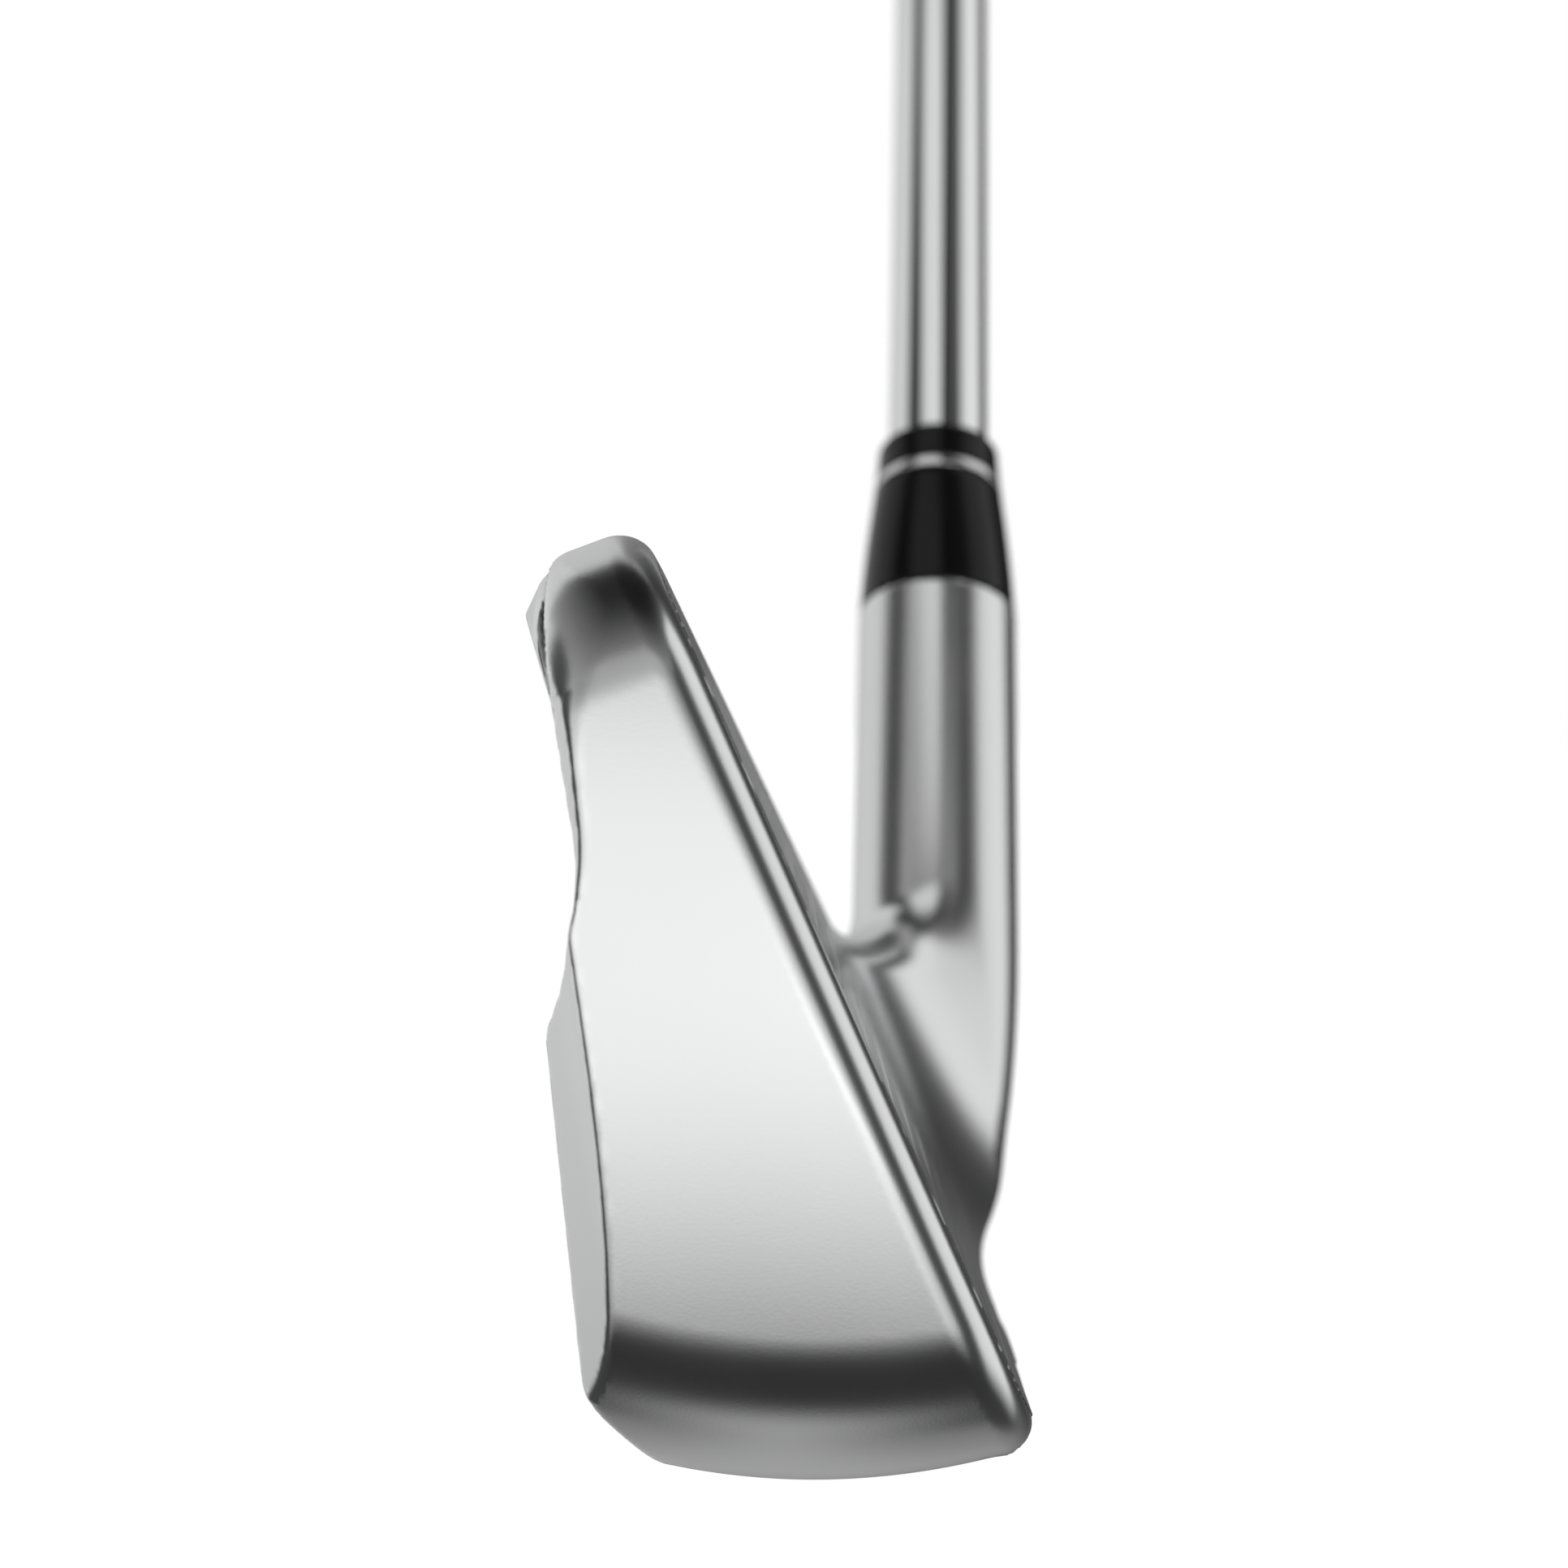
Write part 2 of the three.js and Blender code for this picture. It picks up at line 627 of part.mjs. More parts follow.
function ferruleBody() {
  const from = HOSEL_TOP + SEAM;
  const to = RING_MIDDLE - RING_WIDTH / 2 - SEAM;
  const outside = [];
  const steps = 4;
  for (let i = 0; i <= steps; i += 1) {
    const height = THREE.MathUtils.lerp(from, to, i / steps);
    outside.push([ferruleRadiusAt(height), height]);
  }
  return turned(outside, [[FERRULE_BORE, from], [FERRULE_BORE, to]]);
}

function ferruleRing() {
  const from = RING_MIDDLE - RING_WIDTH / 2;
  const to = RING_MIDDLE + RING_WIDTH / 2;
  const outside = [[ferruleRadiusAt(from), from], [ferruleRadiusAt(to), to]];
  return turned(outside, [[FERRULE_BORE, from], [FERRULE_BORE, to]]);
}

function ferruleCap() {
  const from = RING_MIDDLE + RING_WIDTH / 2 + SEAM;
  const shoulder = { rise: 1.4, width: 0.63 };
  const outside = [[ferruleRadiusAt(from), from]];
  const steps = 4;
  for (let i = 0; i <= steps; i += 1) {
    const angle = (Math.PI / 2) * (i / steps);
    const radius = FERRULE_CAP_RADIUS - shoulder.width * (1 - Math.cos(angle));
    outside.push([radius, FERRULE_TOP - shoulder.rise * (1 - Math.sin(angle))]);
  }
  return turned(outside, [[FERRULE_BORE, from], [FERRULE_BORE, FERRULE_TOP]]);
}

// ---- Shaft and its band ----

// Radius and height pairs up the outside of the stepped tube.
function shaftOutside(to) {
  const outside = [[SHAFT_TIP_RADIUS, SHAFT_TIP], [SHAFT_NECK_RADIUS, FIRST_STEP]];
  const growth = (SHAFT_BUTT_RADIUS - SHAFT_NECK_RADIUS) / STEP_COUNT;
  for (let i = 0; i < STEP_COUNT; i += 1) {
    const height = FIRST_STEP + i * STEP_PITCH;
    const radius = SHAFT_NECK_RADIUS + (i + 1) * growth;
    outside.push([radius, height + STEP_LENGTH]);
    outside.push([radius, Math.min(height + STEP_PITCH, to)]);
  }
  outside.at(-1)[1] = to;
  return outside;
}

function shaft() {
  const outside = shaftOutside(SHAFT_TOP);
  const wallAt = (height) => THREE.MathUtils.mapLinear(
    height, SHAFT_TIP, SHAFT_TOP, SHAFT_TIP_WALL, SHAFT_BUTT_WALL,
  );
  return turned(outside, outside.map(([radius, height]) => [radius - wallAt(height), height]));
}

// A plain wrapped band on the last stepped length below the grip.
function shaftBand() {
  const growth = (SHAFT_BUTT_RADIUS - SHAFT_NECK_RADIUS) / STEP_COUNT;
  const inside = SHAFT_BUTT_RADIUS - growth + 0.05;
  const outside = inside + BAND_THICKNESS;
  const from = FIRST_STEP + (STEP_COUNT - 2) * STEP_PITCH + 4;
  const to = from + BAND_LENGTH;
  return turned([[outside, from], [outside, to]], [[inside, from], [inside, to]]);
}

// ---- Grip ----

function gripTape() {
  const inside = SHAFT_BUTT_RADIUS + 0.1;
  const outside = inside + TAPE_THICKNESS;
  const from = GRIP_MOUTH + 3;
  const to = SHAFT_TOP - 2;
  return turned([[outside, from], [outside, to]], [[inside, from], [inside, to]]);
}

// The grip swells from its mouth to its butt, quicker near the butt.
function gripRadiusAt(height) {
  const along = (height - GRIP_MOUTH) / GRIP_LENGTH;
  return THREE.MathUtils.lerp(GRIP_MOUTH_RADIUS, GRIP_BUTT_RADIUS, 0.75 * along + 0.25 * along ** 3);
}

function grip() {
  const outside = [[GRIP_BORE_RADIUS + 0.3, GRIP_MOUTH], [GRIP_MOUTH_RADIUS - 0.2, GRIP_MOUTH + 1]];
  const steps = 14;
  for (let i = 0; i <= steps; i += 1) {
    const height = THREE.MathUtils.lerp(GRIP_MOUTH + 2, GRIP_TOP, i / steps);
    outside.push([gripRadiusAt(height), height]);
  }
  return turned(outside, [[GRIP_BORE_RADIUS, GRIP_MOUTH], [GRIP_BORE_RADIUS, GRIP_TOP]]);
}

function gripCap() {
  const from = GRIP_TOP + SEAM;
  const corner = 1.6;
  const outside = [[GRIP_BUTT_RADIUS, from], [CAP_RADIUS, from + 1.2], [CAP_RADIUS, CLUB_LENGTH - corner]];
  const steps = 3;
  for (let i = 1; i <= steps; i += 1) {
    const angle = (Math.PI / 2) * (i / steps);
    const height = CLUB_LENGTH - corner + corner * Math.sin(angle);
    outside.push([CAP_RADIUS - corner + corner * Math.cos(angle), height]);
  }
  return turned(outside, [[VENT_RADIUS, from], [VENT_RADIUS, CLUB_LENGTH]]);
}

// ---- Assembly ----

function finish(color, metalness, roughness) {
  return new THREE.MeshStandardMaterial({ color, metalness, roughness });
}

const SATIN_STEEL = finish(0xb8babc, 1, 0.38);
const FACE_STEEL = finish(0x8f9194, 1, 0.45);
const POLISHED_STEEL = finish(0xd2d4d6, 1, 0.12);
const TUNGSTEN = finish(0x6f7274, 1, 0.5);
const BRASS = finish(0xb08d4a, 1, 0.4);
const GLOSS_BLACK = finish(0x0b0b0c, 0, 0.18);
const CHARCOAL = finish(0x3a3c3f, 0.4, 0.5);
const FOAM_TAPE = finish(0xd8d6cf, 0, 0.9);
const URETHANE = finish(0x5a3f7a, 0, 0.6);
const CORK = finish(0xb58a5a, 0, 0.9);
const EPOXY = finish(0xc9c2a0, 0, 0.4);
const RUBBER = finish(0x161617, 0, 0.8);

const club = new THREE.Group();

function addPiece(name, geometry, material) {
  const mesh = new THREE.Mesh(geometry, material);
  mesh.name = name;
  club.add(mesh);
}

addPiece('head_body', headBody(), SATIN_STEEL);
addPiece('face_plate', facePlate(), FACE_STEEL);
addPiece('toe_weight', toeWeight(), TUNGSTEN);
addPiece('damping_core', dampingCore(), URETHANE);
addPiece('badge_tape', badgeTape(), FOAM_TAPE);
addPiece('back_badge', backBadge(), POLISHED_STEEL);
addPiece('badge_inlay', badgeInlay(), CHARCOAL);
addPiece('hosel_plug', hoselPlug(), CORK);
addPiece('tip_weight', tipWeight(), BRASS);
addPiece('shaft_bond', shaftBond(), EPOXY);
addPiece('ferrule_body', ferruleBody(), GLOSS_BLACK);
addPiece('ferrule_ring', ferruleRing(), POLISHED_STEEL);
addPiece('ferrule_cap', ferruleCap(), GLOSS_BLACK);
addPiece('shaft', shaft(), POLISHED_STEEL);
addPiece('shaft_band', shaftBand(), GLOSS_BLACK);
addPiece('grip_tape', gripTape(), FOAM_TAPE);
addPiece('grip', grip(), RUBBER);
addPiece('grip_cap', gripCap(), RUBBER);

const faceCentre = new THREE.Vector3(FACE_CENTRE_U, FACE_CENTRE_V, 0).applyMatrix4(FACE_FRAME);
club.position.copy(faceCentre).negate();

export default club;
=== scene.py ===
"""The looks of a right-handed 6-iron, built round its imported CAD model.

Shapes are worked out in millimetres with the club soled at address: +X points at the target, +Y runs from
toe to heel, +Z is up, the ground is z = 0 and the shaft axis meets the ground at the origin. place() brings
them into the row's frame in metres.
"""

import json
import math

import bmesh
import bpy
import numpy as np
from mathutils import Matrix, Vector


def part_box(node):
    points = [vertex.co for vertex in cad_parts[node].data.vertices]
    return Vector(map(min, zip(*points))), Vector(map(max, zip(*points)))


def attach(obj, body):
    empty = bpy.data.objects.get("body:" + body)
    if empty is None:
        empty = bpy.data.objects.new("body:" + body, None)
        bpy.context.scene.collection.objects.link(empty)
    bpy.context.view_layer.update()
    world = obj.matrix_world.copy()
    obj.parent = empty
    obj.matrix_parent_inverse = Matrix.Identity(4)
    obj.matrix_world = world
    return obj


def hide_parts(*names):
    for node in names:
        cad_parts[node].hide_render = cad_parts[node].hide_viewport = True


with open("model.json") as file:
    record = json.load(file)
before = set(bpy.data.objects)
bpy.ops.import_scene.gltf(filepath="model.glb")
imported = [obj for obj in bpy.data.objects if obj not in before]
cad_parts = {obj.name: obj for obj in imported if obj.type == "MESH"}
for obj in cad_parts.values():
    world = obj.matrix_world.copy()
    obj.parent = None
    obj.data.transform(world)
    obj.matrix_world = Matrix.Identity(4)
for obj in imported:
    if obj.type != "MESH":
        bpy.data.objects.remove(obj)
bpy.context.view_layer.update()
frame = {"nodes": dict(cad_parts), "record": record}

MM = 0.001


# ---- The address frame, worked out from the CAD model ----


def centre_of(node):
    low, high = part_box(node)
    return (low + high) / 2


def mount_axis(name):
    mounts = frame["record"]["mounts"]
    return Vector(next(m["axis"] for m in mounts if m["name"] == name))


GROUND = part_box("head_body")[0].z
SHAFT_AXIS = (centre_of("grip_cap") - centre_of("ferrule_ring")).normalized()
LIE = math.asin(SHAFT_AXIS.z)
FACE_NORMAL = mount_axis("striking_face").normalized()
LOFT = math.asin(FACE_NORMAL.z)
ADDRESS_ORIGIN = centre_of("ferrule_ring") - SHAFT_AXIS * (
    (centre_of("ferrule_ring").z - GROUND) / SHAFT_AXIS.z
)


def turned_span(node):
    """Of a turned CAD node: start and end along the shaft, least and greatest radius, in millimetres."""
    corners = np.array([v.co for v in frame["nodes"][node].data.vertices])
    apart = (corners - np.array(ADDRESS_ORIGIN)) / MM
    heights = apart @ np.array(SHAFT_AXIS)
    radii = np.linalg.norm(apart - np.outer(heights, np.array(SHAFT_AXIS)), axis=1)
    return heights.min(), heights.max(), radii.min(), radii.max()


# ---- Driving dimensions, in millimetres ----
#
# A cosine here is that of the angle between the normals of two surfaces that meet, for the rounding there.
# ACROSS together with LEAN or DRAFT is the normal of a slanted wall.

# Blade, whose topline height is measured up the face at y = 0
FACE_FRONT = -(ADDRESS_ORIGIN.x + GROUND * math.tan(LOFT)) / MM
FACE_STEP = 0.05
FACE_EDGE_RADIUS = 2.3
TOE_SIDE = -66.3
TOE_SIDE_MIDDLE = 32
TOE_SIDE_RADIUS = 120
CROWN_RADIUS = 10.5
TOPLINE_FALL = math.radians(29.5)
TOPLINE_HEIGHT = 36.6
HEEL_INSET = 2
HEEL_EDGE_RADIUS = 13

# Sole
CAMBER_RADIUS = 170
CAMBER_Y = -27
SOLE_RADIUS = 40
SOLE_LOWEST_X = -11.5
TRAILING_EDGE = (-19.3, 0.75)
TRAILING_ANGLE = math.radians(45)
TRAILING_RADIUS = 4
TRAILING_COSINE = 0.74
TOE_CORNER_RADIUS = 10.5
TOE_CORNER_COSINE = 0.157
HEEL_CORNER_RADIUS = 15
HEEL_CORNER_COSINE = 0.62

# Upper back, with the chamfer that runs round it
TOPLINE_THICKNESS = 5
UPPER_WALL_SLOPE = 0.25
CREASE_DEPTH = 5.1
CREASE_SLOPE = 0.145
CREASE_BEND = 14
CREASE_LOWER_SLOPE = 0.2
CHAMFER_ANGLE = math.radians(41)
WALL_EDGE_RADIUS = 0.6
WALL_EDGE_COSINE = 0.75
BACK_EDGE_RADIUS = 0.35
TOPLINE_EDGE_EXTRA = 0.3
TOPLINE_EDGE_RISE = (50, 60)
CROWN_EDGE_EXTRA = 4.5
CROWN_EDGE_RISE = (44, 60)
CROWN_EDGE_REACH = (57, 66)

# Muscle: (x, z) points at one station along the blade, a point on its toe chamfer, and the chamfer's normal
BACK_STATION = -50
BACK_SLIDE_X = 0.12
BACK_SLIDE_Z = -0.25
SHELF_TOP = (-21.8, 31.7)
MUSCLE_CORNER = (-24.8, 26.1)
MUSCLE_FOOT = (-22.4, 8.2)
MUSCLE_EDGE_RADIUS = 1.3
MUSCLE_EDGE_COSINE = 0.77
MUSCLE_CREASE = (-22.5, -66.0, 23.3)
MUSCLE_CHAMFER = (-0.822, -0.559, -0.118)
MUSCLE_CHAMFER_RADIUS = 1
MUSCLE_CHAMFER_COSINE = 0.85
WAIST_RADIUS = 12
WAIST_COSINE = 0.72

# Hosel and neck
HOSEL_PROUD = 0.03
HOSEL_RADIUS = turned_span("ferrule_body")[3] + HOSEL_PROUD
HOSEL_TOP = turned_span("ferrule_body")[0] - 0.1
HOSEL_RIM_RADIUS = 0.3
BORE_RADIUS = 4.87
BORE_BOTTOM = 26
BEND_START = 31
BEND_RATE = 9.24e-4
BEND_POWER = 2.5
NECK_SWEEP = 20
NECK_LEAST_COSINE = 0.2
NECK_DEPTH = 3
NECK_FADE = (-6, 2.5)
NECK_REACH = 6.5
NECK_LEAST_REACH = 0.3
NECK_REACH_RISE = (1, 12)
NECK_SOLE_RADIUS = 5
NECK_SOLE_COSINE = 0.2

# Badge and its inlay, measured below the topline, off the face, and along the topline towards the toe
BADGE_MARGIN = 0.6
BADGE_MARGIN_SLOPE = 0.1
BADGE_BOTTOM = 13
BADGE_RIDGE = 6.4
BADGE_RIDGE_RADIUS = 0.7
BADGE_RIDGE_COSINE = 0.75
BADGE_BACK = -8.9
BADGE_FOOT = 1.1
BADGE_SEAT = 0.3
BADGE_SEAT_RADIUS = 0.1
BADGE_PROUD = 0.05
BADGE_EDGE_RADIUS = 0.25
BADGE_CORNER_RADIUS = 0.3
BADGE_HEEL_END = 12
BADGE_HEEL_ACROSS = 0.857
BADGE_HEEL_LEAN = 0.514
BADGE_FLARE_START = 57
BADGE_FLARE = 0.12
INLAY_TOP = 7.4
INLAY_BOTTOM = 11.8
INLAY_HEEL_END = 18
INLAY_HEEL_SLOPE = 0.8
INLAY_CORNER_RADIUS = 0.8
INLAY_EDGE_RADIUS = 0.08
INLAY_TOE_RIM = 0.9
INLAY_GAP = 0.12
INLAY_DEPTH = 0.4
INLAY_POCKET_DEPTH = 0.5
INLAY_PROUD = 0.02
INLAY_RIB_DEPTH = 0.1
INLAY_RIB_PITCH = 1.3

# Face plate, with its scorelines counted from its middle
PLATE_MARGIN = 2.6
PLATE_BOTTOM = 7.1
PLATE_HEEL_END = -2.1
PLATE_HEEL_CORNER = 1
PLATE_THICKNESS = 0.6
PLATE_EDGE_RADIUS = 0.12
PLATE_MIDDLE = 23.3
CRISP_RADIUS = 0.05
SCORELINE_PITCH = 3.6
SCORELINE_WIDTH = 0.9
SCORELINE_DEPTH = 0.45
SCORELINE_MARGIN = 3.4
SCORELINE_END_RADIUS = 0.2
SCORELINE_ACROSS = 0.912
SCORELINE_DRAFT = 0.41
SCORELINE_COSINE = 0.4
LOWEST_SCORELINE = -4
HIGHEST_SCORELINE = 6

# Ferrule, shaft and grip
RING_MIDDLE = (turned_span("ferrule_ring")[0] + turned_span("ferrule_ring")[1]) / 2
RING_PROUD = 0.03
FERRULE_RING_RADIUS = 5.8
FERRULE_BULGE = 0.12
FERRULE_EDGE_RADIUS = 0.12
FERRULE_TOP_RADIUS = 0.2
COLLAR_TAPER = 0.3
COLLAR_EDGE_RADIUS = 0.15
COLLAR_TOP_RADIUS = 0.8
SHAFT_TIP_RADIUS = 4.51
SHAFT_NECK_RADIUS = 4.72
SHAFT_TIP_WALL = 0.6
FIRST_STEP = 240
STEP_PITCH = 35
STEP_COUNT = 13
STEP_LENGTH = 1.2
FILM_EDGE_RADIUS = 0.05
GRIP_MOUTH_RADIUS = 8.9
GRIP_MOUTH_EDGE = 0.5
GRIP_BUTT_EDGE = 0.3
GRIP_BORE_RADIUS = turned_span("grip")[2]
GRIP_RINGS = 440
GRIP_LINES = 8
GRIP_PITCH = 8
GRIP_LINE_WIDTH = 0.2
GRIP_RELIEF = 0.45
GRIP_PANELS = ((0.08, 0.34), (0.39, 0.65), (0.7, 0.94))
PANEL_FADE = 0.008
PANEL_RING_OFFSET = 0.012
PANEL_RING_WIDTH = 0.7
PANEL_RING_DEPTH = 0.4
CAP_TOP_RADIUS = 1.5


def place(points):
    """Address millimetres to row metres."""
    return np.asarray(points) * MM + np.array(ADDRESS_ORIGIN)


# ---- Mesh helpers ----


def new_object(name, vertices, faces, normals=None):
    mesh = bpy.data.meshes.new(name)
    mesh.from_pydata(np.asarray(vertices).tolist(), [], np.asarray(faces).tolist())
    mesh.shade_smooth()
    if normals is not None:
        mesh.normals_split_custom_set_from_vertices(np.asarray(normals).tolist())
    mesh.update()
    piece = bpy.data.objects.new(name, mesh)
    bpy.context.scene.collection.objects.link(piece)
    return piece


def gradient(field, p, reach=0.01):
    columns = []
    for axis in range(3):
        shift = np.zeros(3)
        shift[axis] = reach
        columns.append((field(*(p + shift).T) - field(*(p - shift).T)) / (2 * reach))
    return np.stack(columns, 1)


def bending(field, p, reach=0.3):
    """How sharply the surface bends outwards at its points, in 1/mm."""
    total = -6 * field(*p.T)
    for axis in range(3):
        shift = np.zeros(3)
        shift[axis] = reach
        total += field(*(p + shift).T) + field(*(p - shift).T)
    return total / reach ** 2


def crossings(value, axis):
    """Grid edges along an axis whose two ends lie on opposite sides: first node, share along, rising."""
    count = value.shape[axis]
    first = np.take(value, np.arange(count - 1), axis)
    second = np.take(value, np.arange(1, count), axis)
    nodes = np.argwhere((first < 0) != (second < 0))
    a = first[tuple(nodes.T)]
    b = second[tuple(nodes.T)]
    return nodes, a / (a - b), a < 0


def surface_of(name, field, low, high, step, local=None):
    """Closed smooth mesh of the surface where the field is zero, negative inside.

    Each grid cell that the surface crosses gets one vertex, moved on to the surface, with the field's own
    normal, and each crossed grid edge gets the face between its four cells. A local frame is three unit
    vectors and an origin, all in the address frame, when the field is not drawn in that frame itself.
    """
    axes = [np.arange(a, b + s, s) for a, b, s in zip(low, high, step)]
    value = field(*np.meshgrid(*axes, indexing="ij"))
    shape = np.array(value.shape)
    faces = []
    spots = []
    for axis in range(3):
        nodes, share, rising = crossings(value, axis)
        spot = nodes.astype(float)
        spot[:, axis] += share
        side = (axis + 1) % 3
        other = (axis + 2) % 3
        ring = []
        for back_side, back_other in ((1, 1), (0, 1), (0, 0), (1, 0)):
            cell = nodes.copy()
            cell[:, side] -= back_side
            cell[:, other] -= back_other
            ring.append(np.ravel_multi_index(cell.T, shape))
        ring = np.stack(ring, 1)
        ring[~rising] = ring[~rising][:, ::-1]
        faces.append(ring)
        spots.append(np.repeat(spot, 4, axis=0))
    cells, faces = np.unique(np.concatenate(faces), return_inverse=True)
    faces = faces.reshape(-1, 4)
    spots = np.concatenate(spots)
    count = np.bincount(faces.ravel())
    mean = [np.bincount(faces.ravel(), spots[:, i]) / count for i in range(3)]
    p = np.stack(mean, 1) * np.array(step) + np.array([a[0] for a in axes])
    for _ in range(6):
        slope = gradient(field, p)
        move = field(*p.T) / np.maximum((slope ** 2).sum(1), 1e-6)
        p = p - np.clip(move, -max(step), max(step))[:, None] * slope
    slope = gradient(field, p)
    wear = ease(bending(field, p), 0.3, 2)
    normals = slope / np.linalg.norm(slope, axis=1)[:, None]
    if local is not None:
        *rows, origin = local
        p = p @ np.array(rows) + np.array(origin)
        normals = normals @ np.array(rows)
    piece = new_object(name, place(p), faces, normals)
    piece.data.attributes.new("wear", "FLOAT", "POINT").data.foreach_set("value", wear)
    return piece


def turned(name, loop, segments=96, relief=None):
    """A closed loop of (radius, height along the shaft) turned round the shaft axis.

    Relief gives a depth to take off at each height and angle, for loops whose outside is patterned.
    """
    radius, height = np.array(loop, float).T
    turn = np.linspace(0, 2 * math.pi, segments, endpoint=False)
    radius = np.repeat(radius[:, None], segments, axis=1)
    if relief is not None:
        radius = radius - relief(radius, height[:, None], turn[None, :])
    across = np.array([1.0, 0.0, 0.0])
    axis = np.array(SHAFT_AXIS)
    up = np.cross(across, axis)
    outward = np.outer(np.cos(turn), across) + np.outer(np.sin(turn), up)
    vertices = radius[:, :, None] * outward[None] + (height[:, None] * axis)[:, None, :]
    number = np.arange(radius.size).reshape(radius.shape)
    beside = np.roll(number, -1, axis=1)
    faces = np.stack([number, beside, np.roll(beside, -1, axis=0), np.roll(number, -1, axis=0)], -1)
    piece = new_object(name, place(vertices.reshape(-1, 3)), faces.reshape(-1, 4))
    tidy(piece, math.radians(35))
    return piece


def tidy(piece, sharp):
    """Faces point outwards, and edges sharper than the given angle stay crisp."""
    work = bmesh.new()
    work.from_mesh(piece.data)
    bmesh.ops.recalc_face_normals(work, faces=work.faces)
    for edge in work.edges:
        edge.smooth = len(edge.link_faces) == 2 and edge.calc_face_angle(0) < sharp
    work.to_mesh(piece.data)
    work.free()


# ---- Distance fields: negative inside ----


def corner(a, b, radius, cosine=0.0):
    """What lies inside both, with a round edge; cosine is that of the angle between their normals."""
    p = a + radius
    q = b + radius
    arc = np.sqrt(np.maximum(p * p + q * q - 2 * p * q * cosine, 0) / (1 - cosine ** 2)) - radius
    return np.where((p > q * cosine) & (q > p * cosine), arc, np.maximum(a, b))


def fillet(a, b, radius, cosine=0.0):
    """What lies inside either, with a round inner corner."""
    return -corner(-a, -b, radius, cosine)


def melt(a, b, width):
    """What lies inside either, flowing into one another."""
    near = np.maximum(width - np.abs(a - b), 0) / width
    return np.minimum(a, b) - near ** 2 * width / 4


def ease(value, start, end):
    share = np.clip((value - start) / (end - start), 0, 1)
    return share * share * (3 - 2 * share)


def line_side(p, q, start, end):
    """Distance from the line through two points, positive on its left."""
    run = np.array(end, float) - np.array(start, float)
    run /= np.linalg.norm(run)
    return (q - start[1]) * run[0] - (p - start[0]) * run[1]


def plane(x, y, z, through, normal):
    return sum((at - spot) * n for at, spot, n in zip((x, y, z), through, normal))


def heel_side(y, z):
    """Distance beyond the straight heel side of the hosel."""
    return y * math.sin(LIE) - z * math.cos(LIE) - HOSEL_RADIUS


def face_height(x, z):
    return (x - FACE_FRONT) * math.cos(LOFT) + z * math.sin(LOFT)


def up_the_face(x, z):
    return z * math.cos(LOFT) - (x - FACE_FRONT) * math.sin(LOFT)


def below_topline(y, v):
    return (TOPLINE_HEIGHT - y * math.tan(TOPLINE_FALL) - v) * math.cos(TOPLINE_FALL)


def upper_wall_height(below):
    return -(TOPLINE_THICKNESS + UPPER_WALL_SLOPE * below)


def camber(y):
    return (y - CAMBER_Y) ** 2 / (2 * CAMBER_RADIUS)


def sole(x, y, z):
    return camber(y) + (x - SOLE_LOWEST_X) ** 2 / (2 * SOLE_RADIUS) - z


def trailing_chamfer(x, y, z):
    back = (TRAILING_EDGE[0] - x) * math.sin(TRAILING_ANGLE)
    return back + (camber(y) + TRAILING_EDGE[1] - z) * math.cos(TRAILING_ANGLE)


def toe_side(y, z):
    rise = z - TOE_SIDE_MIDDLE
    lean = rise / TOE_SIDE_RADIUS
    return (TOE_SIDE + rise ** 2 / (2 * TOE_SIDE_RADIUS) - y) / np.sqrt(1 + lean ** 2)


def upper_wall(w, below):
    return (upper_wall_height(below) - w) / math.hypot(1, UPPER_WALL_SLOPE)


def muscle(x, y, z):
    """The thick lower back, which slides down and forward towards the heel and is chamfered at the toe."""
    from_station = y - BACK_STATION
    px = x - BACK_SLIDE_X * from_station
    pz = z - BACK_SLIDE_Z * from_station
    shelf = line_side(px, pz, MUSCLE_CORNER, SHELF_TOP)
    back = line_side(px, pz, MUSCLE_FOOT, MUSCLE_CORNER)
    body = corner(shelf, back, MUSCLE_EDGE_RADIUS, MUSCLE_EDGE_COSINE)
    body = corner(body, trailing_chamfer(x, y, z), TRAILING_RADIUS, TRAILING_COSINE)
    toe_chamfer = plane(x, y, z, MUSCLE_CREASE, MUSCLE_CHAMFER)
    return corner(body, toe_chamfer, MUSCLE_CHAMFER_RADIUS, MUSCLE_CHAMFER_COSINE)


def blade_outline(x, y, z):
    """Topline, crown, toe side and sole, without the face edge."""
    below = below_topline(y, up_the_face(x, z))
    outline = corner(-below, toe_side(y, z), CROWN_RADIUS, -math.sin(TOPLINE_FALL))
    return corner(outline, sole(x, y, z), TOE_CORNER_RADIUS, TOE_CORNER_COSINE)


def back_chamfer(x, y, z):
    """The chamfer that runs round the upper back, across wall and badge alike."""
    below = below_topline(y, up_the_face(x, z))
    depth = CREASE_DEPTH + CREASE_SLOPE * below + CREASE_LOWER_SLOPE * np.maximum(below - CREASE_BEND, 0)
    back = (-depth - face_height(x, z)) * math.cos(CHAMFER_ANGLE)
    return back + blade_outline(x, y, z) * math.sin(CHAMFER_ANGLE)


def back_edge_radius(y, z):
    """Crisp along the muscle, softer round the crown of the toe."""
    crown = CROWN_EDGE_EXTRA * ease(z, *CROWN_EDGE_RISE) * ease(-y, *CROWN_EDGE_REACH)
    return BACK_EDGE_RADIUS + crown + TOPLINE_EDGE_EXTRA * ease(z, *TOPLINE_EDGE_RISE)


